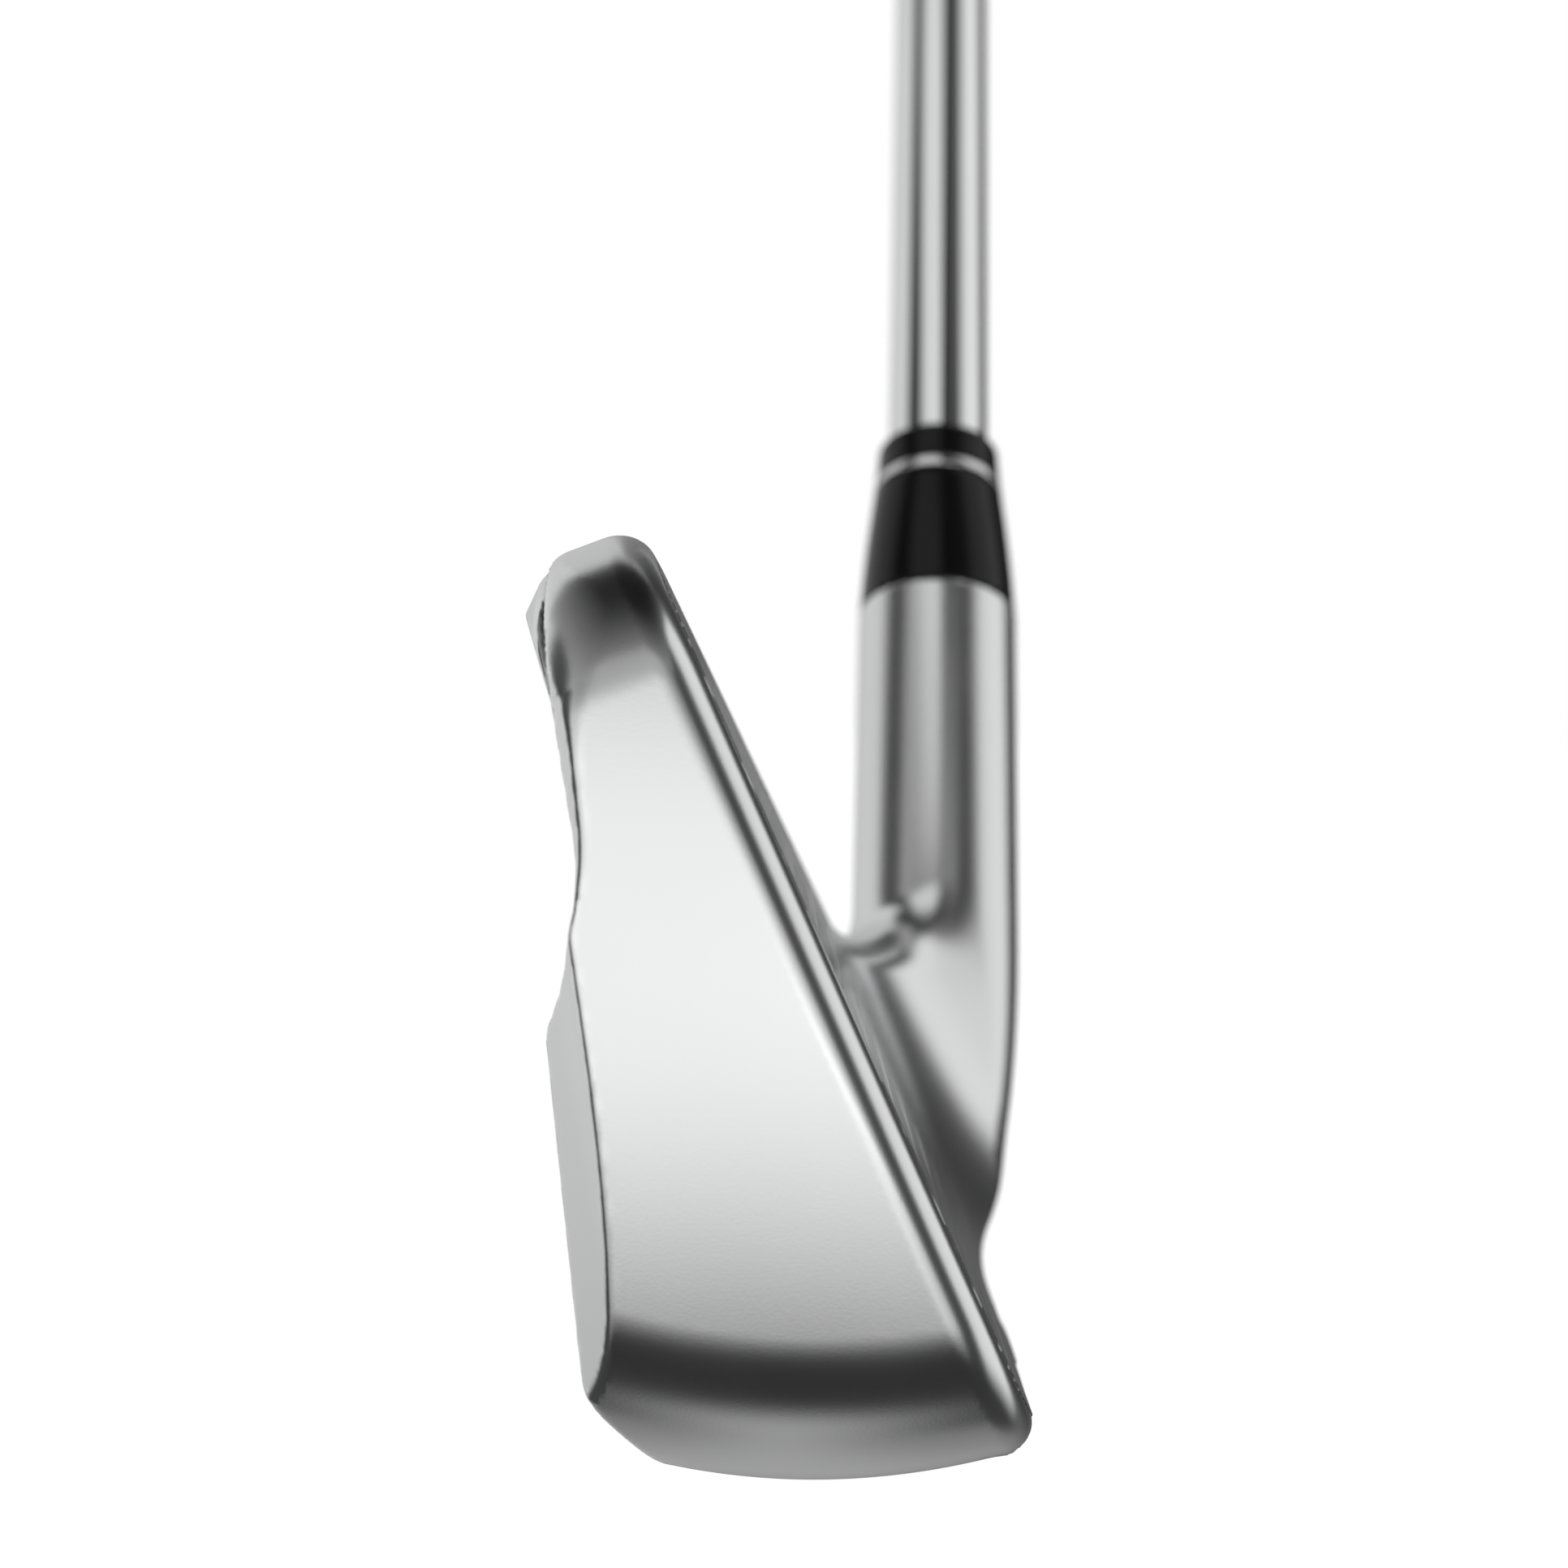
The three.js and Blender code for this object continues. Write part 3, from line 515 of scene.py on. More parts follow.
def blade(x, y, z):
    w = face_height(x, z)
    below = below_topline(y, up_the_face(x, z))
    front = corner(blade_outline(x, y, z), w + FACE_STEP, FACE_EDGE_RADIUS)
    wall = corner(upper_wall(w, below), back_chamfer(x, y, z), WALL_EDGE_RADIUS, WALL_EDGE_COSINE)
    back = fillet(wall, muscle(x, y, z), WAIST_RADIUS, WAIST_COSINE)
    back = corner(back, heel_side(y, z) + HEEL_INSET, HEEL_EDGE_RADIUS)
    return corner(front, back, back_edge_radius(y, z))


def hosel_section(x, y, z):
    """Place across the hosel: ahead of its axis and to its toe side. It bends back at its foot."""
    bend = -BEND_RATE * np.maximum(BEND_START - z, 0) ** BEND_POWER
    return x - bend, z * math.cos(LIE) - y * math.sin(LIE)


def shaft_height(y, z):
    return y * math.cos(LIE) + z * math.sin(LIE)


def neck(x, y, z):
    """The hosel's foot: a tube whose toe side runs out flat into the face below the topline.

    The flat leaves the tube where a ball of the sweep's radius, lying on the face, would touch it.
    """
    ahead, side = hosel_section(x, y, z)
    tube = np.hypot(ahead, side) - HOSEL_RADIUS
    w = face_height(x, z)
    crest = w + (HOSEL_RADIUS - ahead) * math.cos(LOFT)
    cosine = np.clip(1 - crest / (HOSEL_RADIUS + NECK_SWEEP), NECK_LEAST_COSINE, 1)
    sine = np.sqrt(1 - cosine ** 2)
    flat = ahead * cosine + side * sine - HOSEL_RADIUS
    past_touch = ahead * sine - side * cosine
    wedge = np.maximum(np.maximum(flat, past_touch), np.maximum(-side, -w - NECK_DEPTH))
    above = -below_topline(y, up_the_face(x, z))
    share = ease(above, *NECK_FADE)
    return np.minimum(tube, wedge) * (1 - share) + tube * share


def bore(x, y, z):
    """The straight bore for the shaft, open at the top of the hosel."""
    from_axis = np.hypot(x, z * math.cos(LIE) - y * math.sin(LIE))
    return np.maximum(from_axis - BORE_RADIUS, BORE_BOTTOM - shaft_height(y, z))


def head_field(x, y, z):
    heel_corner = corner(heel_side(y, z), sole(x, y, z), HEEL_CORNER_RADIUS, HEEL_CORNER_COSINE)
    foot = corner(neck(x, y, z), sole(x, y, z), NECK_SOLE_RADIUS, NECK_SOLE_COSINE)
    foot = np.maximum(foot, heel_corner)
    reach = NECK_REACH * ease(z, *NECK_REACH_RISE) + NECK_LEAST_REACH
    body = np.maximum(melt(blade(x, y, z), foot, reach), heel_corner)
    capped = corner(body, shaft_height(y, z) - HOSEL_TOP, HOSEL_RIM_RADIUS)
    return np.maximum(capped, -bore(x, y, z))


def head():
    return surface_of("head", head_field, (-31, -69, -2), (11, 39, 64), (0.4, 0.4, 0.4))


# ---- Face plate ----


def face_frame():
    up = (-math.sin(LOFT), 0, math.cos(LOFT))
    normal = (math.cos(LOFT), 0, math.sin(LOFT))
    return (0, 1, 0), up, normal, (FACE_FRONT, 0, 0)


def plate_outline(u, v):
    """Distance outside the plate's outline, seen square on to the face."""
    top = -below_topline(u, v) + PLATE_MARGIN
    toe = toe_side(u, v * math.cos(LOFT)) + PLATE_MARGIN
    crown = corner(top, toe, CROWN_RADIUS - PLATE_MARGIN, -math.sin(TOPLINE_FALL))
    low = corner(crown, PLATE_BOTTOM - v, TOE_CORNER_RADIUS - PLATE_MARGIN)
    return corner(low, u - PLATE_HEEL_END, PLATE_HEEL_CORNER)


def plate_field(u, v, w):
    outline = plate_outline(u, v)
    body = corner(corner(outline, w, PLATE_EDGE_RADIUS), -w - PLATE_THICKNESS, CRISP_RADIUS)
    row = (v - PLATE_MIDDLE) / SCORELINE_PITCH - 0.5
    nearest = np.clip(np.round(row), LOWEST_SCORELINE, HIGHEST_SCORELINE)
    from_line = np.abs(row - nearest) * SCORELINE_PITCH
    wall = (from_line - SCORELINE_WIDTH / 2) * SCORELINE_ACROSS - w * SCORELINE_DRAFT
    groove = corner(wall, -w - SCORELINE_DEPTH, PLATE_EDGE_RADIUS, SCORELINE_COSINE)
    groove = corner(groove, outline + SCORELINE_MARGIN, SCORELINE_END_RADIUS)
    return corner(body, -groove, CRISP_RADIUS)


def face_plate():
    return surface_of(
        "striking_plate", plate_field, (-66, 4, -1.1), (0, 64, 0.6), (0.6, 0.18, 0.17), face_frame(),
    )


# ---- Badge ----


def topline_frame():
    """Below the topline, off the face, and along the topline towards the toe."""
    across, up, normal, origin = (np.array(v, float) for v in face_frame())
    sine = math.sin(TOPLINE_FALL)
    cosine = math.cos(TOPLINE_FALL)
    start = origin + up * TOPLINE_HEIGHT
    return -across * sine - up * cosine, normal, up * sine - across * cosine, start


def badge_back_at(below, along):
    """The badge's back: it drops away below the ridge, and thins towards the toe."""
    foot = upper_wall_height(BADGE_BOTTOM) - BADGE_FOOT
    share = (below - BADGE_RIDGE) / (BADGE_BOTTOM - BADGE_RIDGE)
    flare = BADGE_FLARE * np.maximum(along - BADGE_FLARE_START, 0)
    return BADGE_BACK + share * (foot - BADGE_BACK) + flare


def from_topline(below, height, along):
    """Points of the topline's frame in the address frame."""
    down, out, toewards, start = topline_frame()
    return [below * down[i] + height * out[i] + along * toewards[i] + start[i] for i in range(3)]


def inlay_space(below, along, room):
    """Distance outside the inlay's long sides and heel end, with room all round."""
    middle = (INLAY_TOP + INLAY_BOTTOM) / 2
    heel_end = INLAY_HEEL_END - along - (below - middle) * INLAY_HEEL_SLOPE
    across = np.abs(below - middle) - (INLAY_BOTTOM - INLAY_TOP) / 2
    return corner(across - room, heel_end - room, INLAY_CORNER_RADIUS)


def inlay_end(below, height, along):
    """Distance past the inlay's toe end, which leaves the badge a closed rim."""
    spot = from_topline(below, height, along)
    return np.maximum(back_chamfer(*spot), badge_edge(below, height, along)) + INLAY_TOE_RIM


def badge_edge(below, height, along):
    """Distance outside the badge's edge, which keeps a margin from the outline of the head."""
    outline = blade_outline(*from_topline(below, height, along))
    return outline + BADGE_MARGIN + BADGE_MARGIN_SLOPE * below


def badge_field(below, height, along):
    spot = from_topline(below, height, along)
    under = height - upper_wall_height(below) - BADGE_SEAT
    lower = badge_back_at(below, along) - height
    back = corner(back_chamfer(*spot) - BADGE_PROUD, lower, BADGE_RIDGE_RADIUS, BADGE_RIDGE_COSINE)
    heel_end = (BADGE_HEEL_END - along) * BADGE_HEEL_ACROSS - (height + TOPLINE_THICKNESS) * BADGE_HEEL_LEAN
    outline = np.maximum(badge_edge(below, height, along), heel_end)
    sides = corner(outline, below - BADGE_BOTTOM, BADGE_CORNER_RADIUS)
    body = corner(corner(back, sides, BADGE_EDGE_RADIUS), under, BADGE_SEAT_RADIUS)
    mouth = np.maximum(inlay_space(below, along, INLAY_GAP), inlay_end(below, height, along) - INLAY_GAP)
    pocket = np.maximum(mouth, -lower - INLAY_POCKET_DEPTH)
    return np.maximum(body, -pocket)


def back_badge():
    return surface_of(
        "badge_rib", badge_field, (-0.6, -11.5, 5), (14.2, -3.5, 71), (0.25, 0.25, 0.3), topline_frame(),
    )


def inlay_field(below, height, along):
    surface = badge_back_at(below, along)
    rib = 0.5 + 0.5 * np.cos((along + below) * 2 * math.pi / INLAY_RIB_PITCH)
    top = surface - height + INLAY_RIB_DEPTH * rib - INLAY_PROUD
    outline = corner(inlay_space(below, along, 0), inlay_end(below, height, along), CRISP_RADIUS)
    return corner(corner(outline, top, INLAY_EDGE_RADIUS), height - surface - INLAY_DEPTH, CRISP_RADIUS)


def badge_inlay():
    return surface_of(
        "badge_strip", inlay_field, (6.5, -10.7, 10), (12.6, -6.5, 71), (0.2, 0.15, 0.13), topline_frame(),
    )


# ---- Ferrule, shaft and grip ----


def smooth_steps(start, end, count):
    return [start + (end - start) * i / count for i in range(count + 1)]


def rounded_end(radius, height, size, upwards, steps=6):
    """Points round the edge of a turned piece's end, from its side on to its flat."""
    direction = 1 if upwards else -1
    points = []
    for i in range(steps + 1):
        angle = math.pi / 2 * i / steps
        lift = size * (1 - math.sin(angle))
        points.append((radius - size * (1 - math.cos(angle)), height - direction * lift))
    return points


def ferrule_radius_at(height):
    rise = (height - HOSEL_TOP) / (RING_MIDDLE - HOSEL_TOP)
    foot = HOSEL_RADIUS - HOSEL_PROUD
    return foot + (FERRULE_RING_RADIUS - foot) * rise + FERRULE_BULGE * math.sin(math.pi * rise)


def sleeve(name, outside, bore_radius):
    """A turned piece with a straight bore: outside runs from its low end to its high end."""
    bore = [(bore_radius, outside[-1][1]), (bore_radius, outside[0][1])]
    return turned(name, outside + bore)


def ferrule_body():
    start, end, bore_radius, _ = turned_span("ferrule_body")
    low = rounded_end(ferrule_radius_at(start), start, FERRULE_EDGE_RADIUS, False)[::-1]
    side = [(ferrule_radius_at(h), h) for h in smooth_steps(start + 0.2, end - 0.3, 24)]
    high = rounded_end(ferrule_radius_at(end), end, FERRULE_TOP_RADIUS, True)
    return sleeve("ferrule_sleeve", low + side + high, bore_radius)


def ferrule_ring():
    start, end, bore_radius, _ = turned_span("ferrule_ring")
    low = rounded_end(ferrule_radius_at(start) + RING_PROUD, start, FERRULE_EDGE_RADIUS, False)[::-1]
    high = rounded_end(ferrule_radius_at(end) + RING_PROUD, end, FERRULE_EDGE_RADIUS, True)
    return sleeve("ferrule_trim", low + high, bore_radius)


def ferrule_cap():
    start, end, bore_radius, radius = turned_span("ferrule_cap")
    taper = COLLAR_TAPER / (end - start)
    low = rounded_end(radius, start, COLLAR_EDGE_RADIUS, False)[::-1]
    side = [(radius - taper * (h - start), h) for h in smooth_steps(start + 0.3, end - 1.2, 6)]
    high = rounded_end(side[-1][0], end, COLLAR_TOP_RADIUS, True, 10)
    return sleeve("ferrule_collar", low + side + high, bore_radius)


def shaft_radius_at(height):
    """The stepped taper: each step is a short ramp to the next size."""
    start, _, _, butt = turned_span("shaft")
    growth = (butt - SHAFT_NECK_RADIUS) / STEP_COUNT
    taper = (SHAFT_NECK_RADIUS - SHAFT_TIP_RADIUS) * min(1, (height - start) / (FIRST_STEP - start))
    feet = [FIRST_STEP + i * STEP_PITCH for i in range(STEP_COUNT)]
    steps = sum(ease(height, foot, foot + STEP_LENGTH) for foot in feet)
    return SHAFT_TIP_RADIUS + taper + growth * float(steps)


def shaft():
    start, end, bore_radius, _ = turned_span("shaft")
    heights = [start, start + 60, FIRST_STEP]
    for i in range(STEP_COUNT):
        foot = FIRST_STEP + i * STEP_PITCH
        heights += [foot + STEP_LENGTH * share for share in (0.2, 0.4, 0.6, 0.8, 1)]
        heights += [foot + STEP_PITCH * share for share in (0.35, 0.7, 0.995)]
    heights = sorted(h for h in heights if h < end) + [end]
    outside = [(shaft_radius_at(h), h) for h in heights]
    return sleeve("shaft_tube", outside, min(bore_radius, SHAFT_TIP_RADIUS - SHAFT_TIP_WALL))


def shaft_band():
    start, end, inside, outside = turned_span("shaft_band")
    low = rounded_end(outside, start, FILM_EDGE_RADIUS, False, 3)[::-1]
    high = rounded_end(outside, end, FILM_EDGE_RADIUS, True, 3)
    return sleeve("shaft_film", low + high, inside)


def groove_at(value, width):
    """1 where a repeating value passes zero, falling smoothly to 0 a width away."""
    return np.exp(-((np.abs(np.sin(value / 2)) / width) ** 2))


def grip_relief(start, end):
    """Depth of the grip's pattern: crossed helical grooves in three panels parted by plain collars."""
    length = end - start

    def relief(radius, height, turn):
        along = (height - start) / length
        wind = height * 2 * math.pi / GRIP_PITCH
        diamonds = np.maximum(
            groove_at(GRIP_LINES * turn + wind, GRIP_LINE_WIDTH),
            groove_at(GRIP_LINES * turn - wind, GRIP_LINE_WIDTH),
        )
        panel = np.zeros_like(along)
        ring = np.zeros_like(along)
        for low, high in GRIP_PANELS:
            panel = panel + ease(along, low, low + PANEL_FADE) * (1 - ease(along, high - PANEL_FADE, high))
            for edge in (low - PANEL_RING_OFFSET, high + PANEL_RING_OFFSET):
                ring = ring + np.exp(-((along - edge) * length / PANEL_RING_WIDTH) ** 2)
        outside = ease(radius, GRIP_BORE_RADIUS + 0.3, GRIP_BORE_RADIUS + 0.6)
        return (GRIP_RELIEF * diamonds * panel + PANEL_RING_DEPTH * ring) * outside

    return relief


def grip():
    start, end, bore_radius, butt = turned_span("grip")

    def radius_at(height):
        along = (height - start) / (end - start)
        return GRIP_MOUTH_RADIUS + (butt - GRIP_MOUTH_RADIUS) * (0.75 * along + 0.25 * along ** 3)

    low = rounded_end(radius_at(start), start, GRIP_MOUTH_EDGE, False)[::-1]
    side = [(radius_at(h), h) for h in smooth_steps(start + 0.9, end - 0.6, GRIP_RINGS)]
    high = rounded_end(radius_at(end), end, GRIP_BUTT_EDGE, True)
    bore = [(bore_radius, end), (bore_radius, start)]
    return turned("grip_sleeve", low + side + high + bore, 144, grip_relief(start, end))


def grip_cap():
    """A cap with a rounded rim, a shallow ring let into its flat, and a vent hole in the middle."""
    start, end, vent, radius = turned_span("grip_cap")
    low = [(radius - 0.8, start), (radius - 0.3, start + 0.5), (radius, start + 1.2)]
    high = rounded_end(radius, end, CAP_TOP_RADIUS, True, 10)
    ledge = [(radius - 3.2, end), (radius - 3.5, end - 0.5), (radius - 3.9, end - 0.5), (radius - 4.2, end)]
    mouth = [(vent + 0.4, end), (vent + 0.1, end - 0.1), (vent, end - 0.4), (vent, start)]
    return turned("grip_butt", low + high + ledge + mouth, 128)


# ---- Nodes ----


def grey(level):
    return (level, level, level, 1)


class Shader:
    """Short names for the nodes that the materials use."""

    def __init__(self, tree):
        self.tree = tree
        tree.nodes.clear()

    def node(self, kind, inputs=(), **settings):
        made = self.tree.nodes.new(kind)
        for name, value in settings.items():
            setattr(made, name, value)
        for name, value in dict(inputs).items():
            if isinstance(value, bpy.types.NodeSocket):
                self.tree.links.new(value, made.inputs[name])
            else:
                made.inputs[name].default_value = value
        return made

    def math(self, operation, a, b=0.0):
        return self.node("ShaderNodeMath", {0: a, 1: b}, operation=operation).outputs[0]

    def mix(self, share, a, b):
        made = self.node("ShaderNodeMix", {0: share, 6: a, 7: b}, data_type="RGBA")
        return made.outputs[2]

    def blend(self, share, a, b):
        return self.node("ShaderNodeMix", {0: share, 2: a, 3: b}, data_type="FLOAT").outputs[0]

    def ramp(self, factor, stops):
        made = self.node("ShaderNodeValToRGB", {"Fac": factor})
        ramp = made.color_ramp
        ramp.interpolation = "EASE"
        while len(ramp.elements) < len(stops):
            ramp.elements.new(1)
        for element, (position, level) in zip(ramp.elements, stops):
            element.position = position
            element.color = grey(level)
        return made.outputs["Color"]

    def span(self, value, start, end):
        """0 at start, 1 at end, eased."""
        made = self.node(
            "ShaderNodeMapRange",
            {"Value": value, "From Min": start, "From Max": end},
            interpolation_type="SMOOTHSTEP",
        )
        return made.outputs["Result"]


# ---- Studio ----


def compass(stops):
    """(azimuth in degrees, level) pairs as ramp stops: azimuth 0 is behind the camera, + towards +X."""
    return [((azimuth + 180) / 360, level) for azimuth, level in stops]


LEVEL_LIGHTS = compass([
    (-180, 0.24), (-170, 0.6), (-125, 0.72), (-104, 0.7), (-94, 0.05), (-72, 0.05), (-58, 0.75), (-10, 1.1),
    (14, 1.1), (30, 0.7), (46, 0.06), (64, 0.05), (82, 0.8), (116, 0.9), (130, 0.05), (150, 0.04),
    (168, 0.12), (180, 0.24),
])
HIGH_LIGHTS = compass([
    (-180, 0.4), (-160, 0.25), (-142, 0.04), (-110, 0.03), (-84, 0.1), (-66, 0.75), (-8, 0.8), (2, 0.75),
    (8, 0.02), (40, 0.06), (70, 0.14), (82, 0.85), (118, 0.9), (135, 0.3), (180, 0.4),
])
LOW_LIGHTS = compass([
    (-180, 0.42), (-150, 0.25), (-120, 0.06), (0, 0.03), (120, 0.05), (150, 0.25), (180, 0.42),
])
LAMP = compass([(-180, 0), (2, 0), (7, 1), (27, 1), (34, 0), (180, 0)])
GAP_SHARE = compass([(-180, 1), (-75, 1), (-50, 0.4), (40, 0.4), (65, 1), (180, 1)])


# Elevations, in degrees, between which one set of lights fades into the next
GAP_BAND = (8, 30)
HIGH_BAND = (49, 56)
ZENITH_BAND = (66, 84)
LOW_BAND = (-10, -46)
FLOOR_BAND = (-74, -90)
LAMP_FOOT_BAND = (-9, -6)
LAMP_TOP_BAND = (-1, -4)
ZENITH_LEVEL = 0.04
FLOOR_LEVEL = 0.45
LAMP_LEVEL = 1.7

# The flag over the crown, in address millimetres: its (y, z) profile, how far it runs in x, and its dark spot
FLAG_PROFILE = ((-97, 82), (-84, 93), (-64, 101), (-48, 100), (-37, 95))
FLAG_ENDS = (-85, 12)
FLAG_MIDDLE = (-24, -54, 101)
FLAG_FADE = (15, 80)
FLAG_LEVELS = (0.01, 0.4)
FLOOR_SIZE = 12

# Camera, in address millimetres
CAMERA_DISTANCE = 145.65
CAMERA_SPOT = (-13.25, TOE_SIDE - CAMERA_DISTANCE, 47)
CAMERA_PITCH = math.radians(-1.32)
CAMERA_ROLL = math.radians(1.98)
FOCUS_SPOT = (-23, -54, 40)
LENS_LENGTH = 61.49
SENSOR_WIDTH = 36
F_STOP = 28


def studio_world():
    """White to the camera, and banded light of its own for everything that the club reflects."""
    world = bpy.data.worlds.new("studio")
    bpy.context.scene.world = world
    world.use_nodes = True
    s = Shader(world.node_tree)
    direction = s.node("ShaderNodeTexCoord").outputs["Generated"]
    axes = s.node("ShaderNodeSeparateXYZ", {0: direction}).outputs
    azimuth = s.math("ARCTAN2", axes["X"], s.math("MULTIPLY", axes["Y"], -1.0))
    turn = s.math("ADD", s.math("DIVIDE", azimuth, 2 * math.pi), 0.5)
    elevation = s.math("MULTIPLY", s.math("ARCSINE", axes["Z"]), 180 / math.pi)
    level = s.ramp(turn, LEVEL_LIGHTS)
    high = s.ramp(turn, HIGH_LIGHTS)
    low = s.ramp(turn, LOW_LIGHTS)
    gap = s.mix(s.ramp(turn, GAP_SHARE), grey(0), level)
    light = s.mix(s.span(elevation, *GAP_BAND), level, gap)
    light = s.mix(s.span(elevation, *HIGH_BAND), light, high)
    light = s.mix(s.span(elevation, *ZENITH_BAND), light, grey(ZENITH_LEVEL))
    light = s.mix(s.span(elevation, *LOW_BAND), light, low)
    light = s.mix(s.span(elevation, *FLOOR_BAND), light, grey(FLOOR_LEVEL))
    lamp = s.math("MULTIPLY", s.span(elevation, *LAMP_FOOT_BAND), s.span(elevation, *LAMP_TOP_BAND))
    light = s.mix(s.math("MULTIPLY", lamp, s.ramp(turn, LAMP)), light, grey(LAMP_LEVEL))
    seen = s.node("ShaderNodeBackground", {"Color": grey(1), "Strength": 1.0})
    lit = s.node("ShaderNodeBackground", {"Color": light, "Strength": 1.0})
    camera_ray = s.node("ShaderNodeLightPath").outputs["Is Camera Ray"]
    chosen = s.node("ShaderNodeMixShader", {0: camera_ray, 1: lit.outputs[0], 2: seen.outputs[0]})
    s.node("ShaderNodeOutputWorld", {"Surface": chosen.outputs[0]})


def floor():
    """A pale floor that shows only to the camera, so that it throws no light back on to the club."""
    corners = ((-1, -1), (1, -1), (1, 1), (-1, 1))
    vertices = [(FLOOR_SIZE * x, FLOOR_SIZE * y, GROUND) for x, y in corners]
    piece = new_object("studio_floor", vertices, [(0, 1, 2, 3)])
    piece.visible_glossy = False
    piece.visible_diffuse = False
    material, s = surface_material("studio_floor")
    grain = s.node("ShaderNodeTexNoise", {"Scale": 40.0}).outputs["Fac"]
    tone = s.blend(grain, 0.24, 0.26)
    matt = s.node("ShaderNodeBsdfDiffuse", {"Color": s.mix(tone, grey(0), grey(1))})
    glow = s.node("ShaderNodeEmission", {"Color": grey(1), "Strength": 0.97})
    both = s.node("ShaderNodeAddShader", {0: matt.outputs[0], 1: glow.outputs[0]})
    s.node("ShaderNodeOutputMaterial", {"Surface": both.outputs[0]})
    piece.data.materials.append(material)


def flag():
    """A card over the crown of the toe, black in its middle and grey towards its edges.

    Only reflections see it.
    """
    vertices = [(x, y, z) for y, z in FLAG_PROFILE for x in FLAG_ENDS]
    faces = [(2 * i, 2 * i + 1, 2 * i + 3, 2 * i + 2) for i in range(len(FLAG_PROFILE) - 1)]
    piece = new_object("studio_flag", place(vertices), faces)
    piece.visible_camera = False
    material, s = surface_material("studio_flag")
    spot = s.node("ShaderNodeTexCoord").outputs["Object"]
    middle = tuple(place(FLAG_MIDDLE))
    away = s.node("ShaderNodeVectorMath", {0: spot, 1: middle}, operation="DISTANCE").outputs["Value"]
    start, end = (distance * MM for distance in FLAG_FADE)
    dark, light = (grey(level) for level in FLAG_LEVELS)
    tone = s.mix(s.span(away, start, end), dark, light)
    glow = s.node("ShaderNodeEmission", {"Color": tone, "Strength": 1.0})
    s.node("ShaderNodeOutputMaterial", {"Surface": glow.outputs[0]})
    piece.data.materials.append(material)


def camera():
    """Beyond the toe, level with the upper blade, looking along it with a slight tilt and roll."""
    forward = Vector((0, math.cos(CAMERA_PITCH), math.sin(CAMERA_PITCH)))
    level_up = Vector((0, -math.sin(CAMERA_PITCH), math.cos(CAMERA_PITCH)))
    level_right = Vector((1, 0, 0))
    right = level_right * math.cos(CAMERA_ROLL) + level_up * math.sin(CAMERA_ROLL)
    up = level_up * math.cos(CAMERA_ROLL) - level_right * math.sin(CAMERA_ROLL)
    data = bpy.data.cameras.new("camera")
    data.lens = LENS_LENGTH
    data.sensor_width = SENSOR_WIDTH
    data.clip_start = 0.01
    data.clip_end = 30
    eye = bpy.data.objects.new("camera", data)
    turn = Matrix((right, up, -forward)).transposed().to_4x4()
    eye.matrix_world = Matrix.Translation(ADDRESS_ORIGIN + Vector(CAMERA_SPOT) * MM) @ turn
    focus = bpy.data.objects.new("focus", None)
    focus.location = ADDRESS_ORIGIN + Vector(FOCUS_SPOT) * MM
    data.dof.use_dof = True
    data.dof.focus_object = focus
    data.dof.aperture_fstop = F_STOP
    bpy.context.scene.collection.objects.link(eye)
    bpy.context.scene.collection.objects.link(focus)
    bpy.context.scene.camera = eye
    bpy.context.scene.view_settings.view_transform = "Standard"


# ---- Materials ----


def surface_material(name):
    material = bpy.data.materials.new(name)
    material.use_nodes = True
    return material, Shader(material.node_tree)


def finish_surface(s, bump_height=None, bump_depth=0.0, **inputs):
    """A principled surface with its inputs by name, and an optional bump of a depth in metres."""
    named = {key.replace("_", " "): value for key, value in inputs.items()}
    if bump_height is not None:
        bump = s.node("ShaderNodeBump", {"Height": bump_height, "Distance": bump_depth, "Strength": 1.0})
        named["Normal"] = bump.outputs["Normal"]
    skin = s.node("ShaderNodeBsdfPrincipled", named)
    s.node("ShaderNodeOutputMaterial", {"Surface": skin.outputs[0]})


def noise(s, size, detail=2.0):
    """Noise whose grains are about size millimetres across."""
    spot = s.node("ShaderNodeTexCoord").outputs["Object"]
    made = s.node("ShaderNodeTexNoise", {"Vector": spot, "Scale": 1 / (size * MM), "Detail": detail})
    return made.outputs["Fac"]


def edge_wear(s):
    """1 on worn outer edges, falling to 0 on flats and in hollows."""
    return s.node("ShaderNodeAttribute", attribute_name="wear").outputs["Fac"]


def satin_steel():
    """Bead-blasted steel, burnished where its edges are handled."""
    material, s = surface_material("satin_steel")
    grain = noise(s, 0.14, 1.0)
    drift = noise(s, 9.0)
    wear = edge_wear(s)
    rough = s.blend(drift, 0.2, 0.25)
    tone = s.mix(drift, (0.78, 0.785, 0.79, 1), (0.83, 0.832, 0.835, 1))
    finish_surface(
        s, grain, 0.000003,
        Base_Color=s.mix(wear, tone, (0.87, 0.872, 0.875, 1)), Metallic=1.0,
        Roughness=s.math("SUBTRACT", rough, s.math("MULTIPLY", wear, 0.06)),
    )
    return material


def metal(name, colour, roughness, grain_size=0.15, grain_depth=0.0000015):
    """Bare or plated metal, a little duller in places and brighter along its worn edges."""
    material, s = surface_material(name)
    grain = noise(s, grain_size, 1.0)
    drift = noise(s, 12.0)
    wear = edge_wear(s)
    rough = s.blend(drift, roughness * 0.8, roughness * 1.2)
    dull = tuple(c * 0.93 for c in colour)
    bright = tuple(min(c * 1.05, 1) for c in colour)
    tone = s.mix(drift, (*dull, 1), (*colour, 1))
    finish_surface(
        s, grain, grain_depth,
        Base_Color=s.mix(wear, tone, (*bright, 1)), Metallic=1.0,
        Roughness=s.math("SUBTRACT", rough, s.math("MULTIPLY", wear, roughness * 0.2)),
    )
    return material


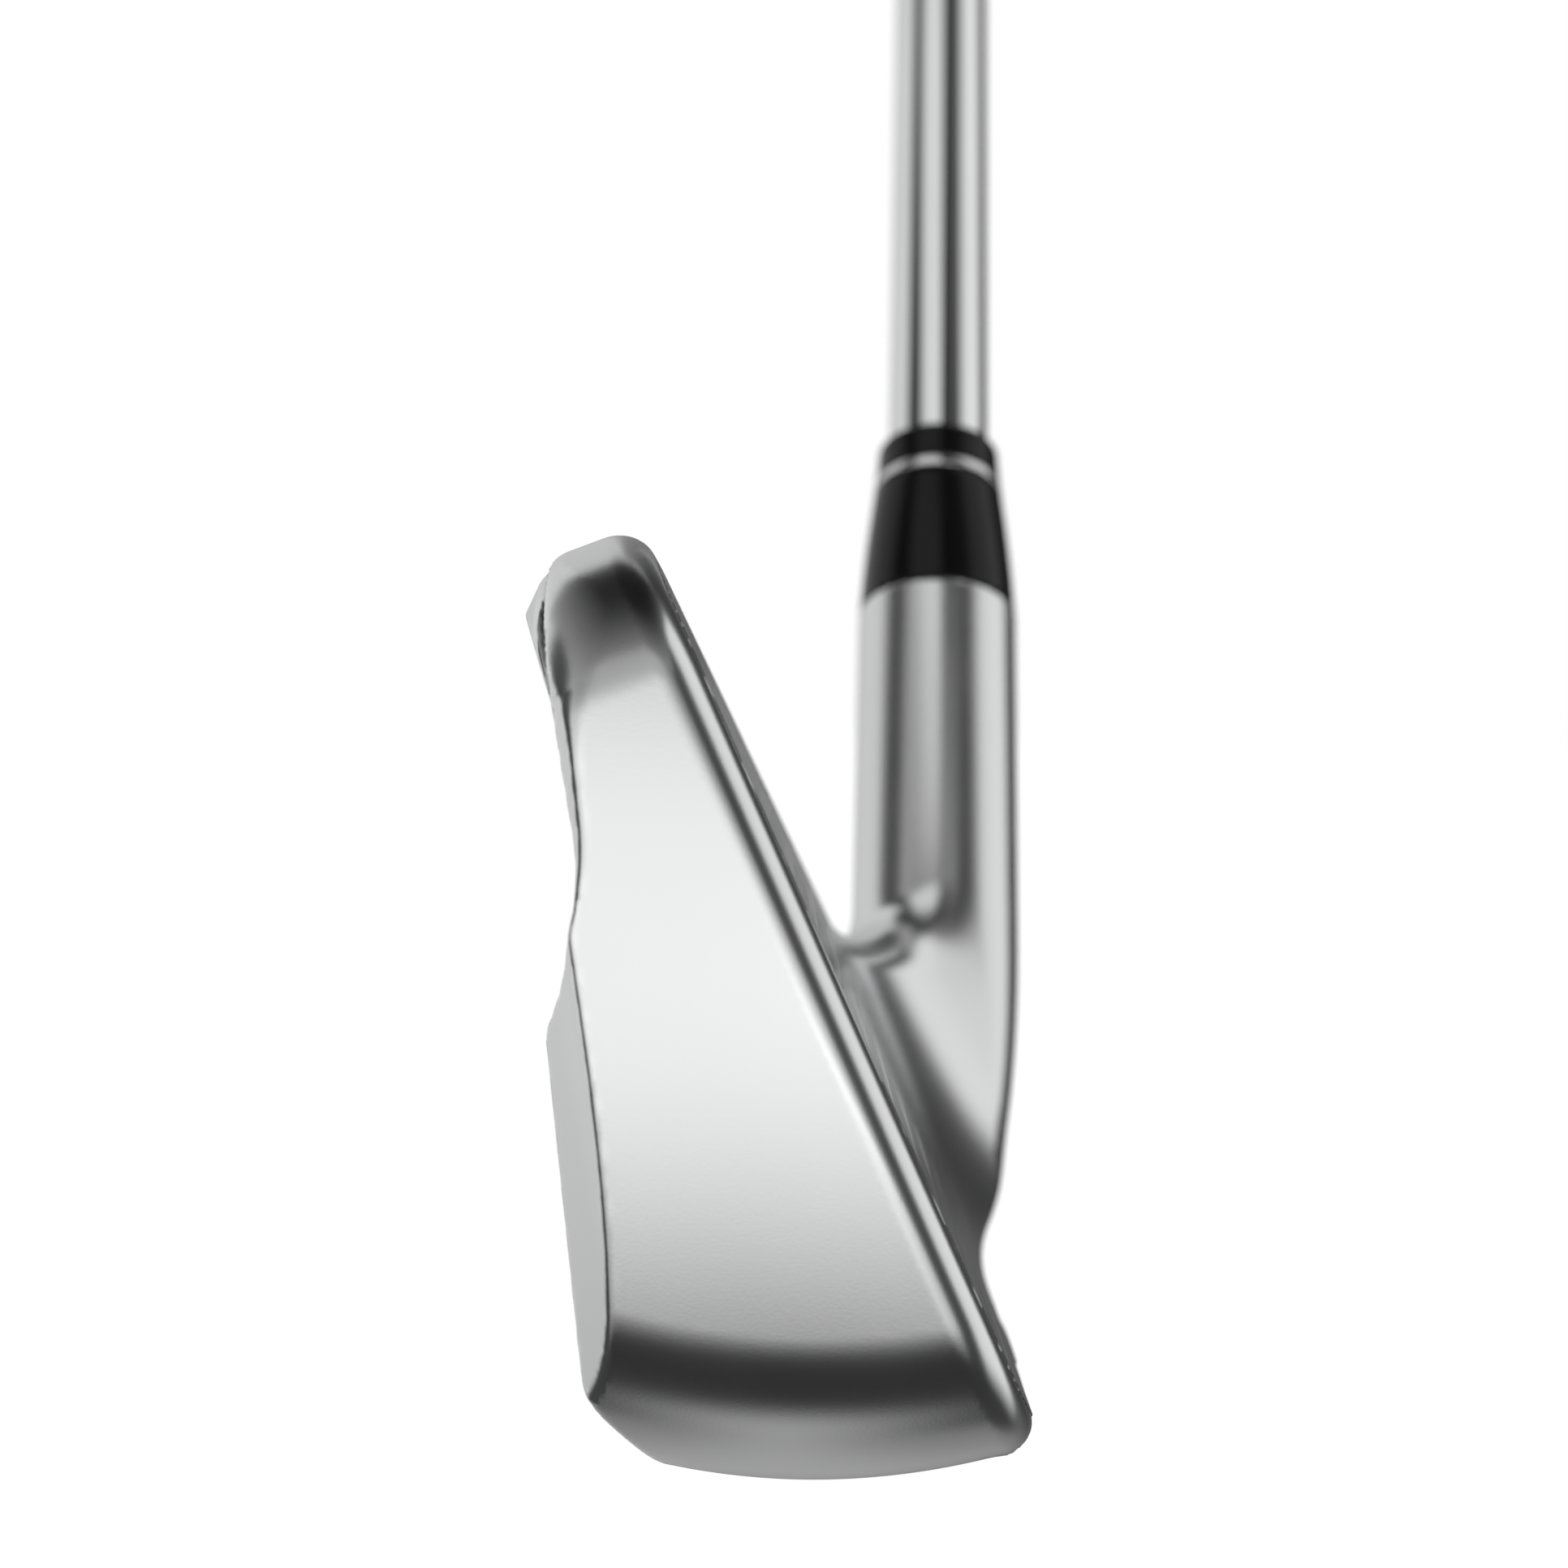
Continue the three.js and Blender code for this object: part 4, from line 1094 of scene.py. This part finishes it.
def gloss_black():
    """Buffed black acetate, with the faint ripple that buffing leaves."""
    material, s = surface_material("gloss_black")
    ripple = noise(s, 2.5)
    specks = noise(s, 0.3, 3.0)
    finish_surface(
        s, ripple, 0.000012,
        Base_Color=s.mix(specks, (0.006, 0.006, 0.0065, 1), (0.012, 0.012, 0.013, 1)),
        Roughness=s.math("ADD", s.math("MULTIPLY", specks, 0.05), 0.13),
        Specular_IOR_Level=0.15, Coat_Weight=0.08, Coat_Roughness=0.06,
    )
    return material


def rubber(name):
    """Matt moulded rubber with a fine stipple."""
    material, s = surface_material(name)
    stipple = noise(s, 0.35, 3.0)
    drift = noise(s, 15.0)
    finish_surface(
        s, stipple, 0.00006,
        Base_Color=s.mix(drift, (0.012, 0.012, 0.013, 1), (0.022, 0.022, 0.023, 1)),
        Roughness=s.math("ADD", s.math("MULTIPLY", stipple, 0.2), 0.55),
        Specular_IOR_Level=0.35,
    )
    return material


def plain(name, dark, light, size, roughness, depth):
    """Matt stuff with its own grain, for the pieces that sit inside."""
    material, s = surface_material(name)
    grain = noise(s, size, 4.0)
    finish_surface(
        s, grain, depth,
        Base_Color=s.mix(grain, (*dark, 1), (*light, 1)), Roughness=roughness,
    )
    return material


# ---- Assembly ----


def show(piece, node, material):
    piece.data.materials.append(material)
    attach(piece, "root")
    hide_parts(node)


def finish_node(node, material):
    """Gives a CAD node that stays as it is its material."""
    piece = frame["nodes"][node]
    piece.data.materials.clear()
    piece.data.materials.append(material)


studio_world()
floor()
flag()
camera()
STEEL = satin_steel()
BLACK = gloss_black()
RUBBER = rubber("grip_rubber")
show(head(), "head_body", STEEL)
show(face_plate(), "face_plate", metal("face_steel", (0.72, 0.725, 0.73), 0.24))
show(back_badge(), "back_badge", metal("polished_steel", (0.8, 0.805, 0.81), 0.16))
show(badge_inlay(), "badge_inlay", metal("dark_inlay", (0.5, 0.5, 0.51), 0.35))
show(ferrule_body(), "ferrule_body", BLACK)
show(ferrule_ring(), "ferrule_ring", metal("ring_metal", (0.8, 0.8, 0.8), 0.15))
show(ferrule_cap(), "ferrule_cap", BLACK)
show(shaft(), "shaft", metal("shaft_chrome", (0.86, 0.865, 0.87), 0.05))
show(shaft_band(), "shaft_band", BLACK)
show(grip(), "grip", RUBBER)
show(grip_cap(), "grip_cap", RUBBER)
finish_node("toe_weight", metal("tungsten", (0.42, 0.41, 0.4), 0.4, 0.3, 0.00001))
finish_node("damping_core", plain("urethane", (0.55, 0.5, 0.42), (0.65, 0.6, 0.5), 1.5, 0.45, 0.00002))
finish_node("badge_tape", plain("foam_tape", (0.1, 0.1, 0.1), (0.2, 0.2, 0.2), 0.4, 0.8, 0.00005))
finish_node("hosel_plug", plain("cork", (0.28, 0.16, 0.08), (0.5, 0.34, 0.2), 0.9, 0.85, 0.0001))
finish_node("tip_weight", metal("brass", (0.78, 0.6, 0.3), 0.25))
finish_node("shaft_bond", plain("epoxy", (0.5, 0.44, 0.3), (0.6, 0.55, 0.4), 1.2, 0.3, 0.00003))
finish_node("grip_tape", plain("grip_tape_paper", (0.72, 0.68, 0.58), (0.82, 0.79, 0.7), 0.5, 0.8, 0.00002))
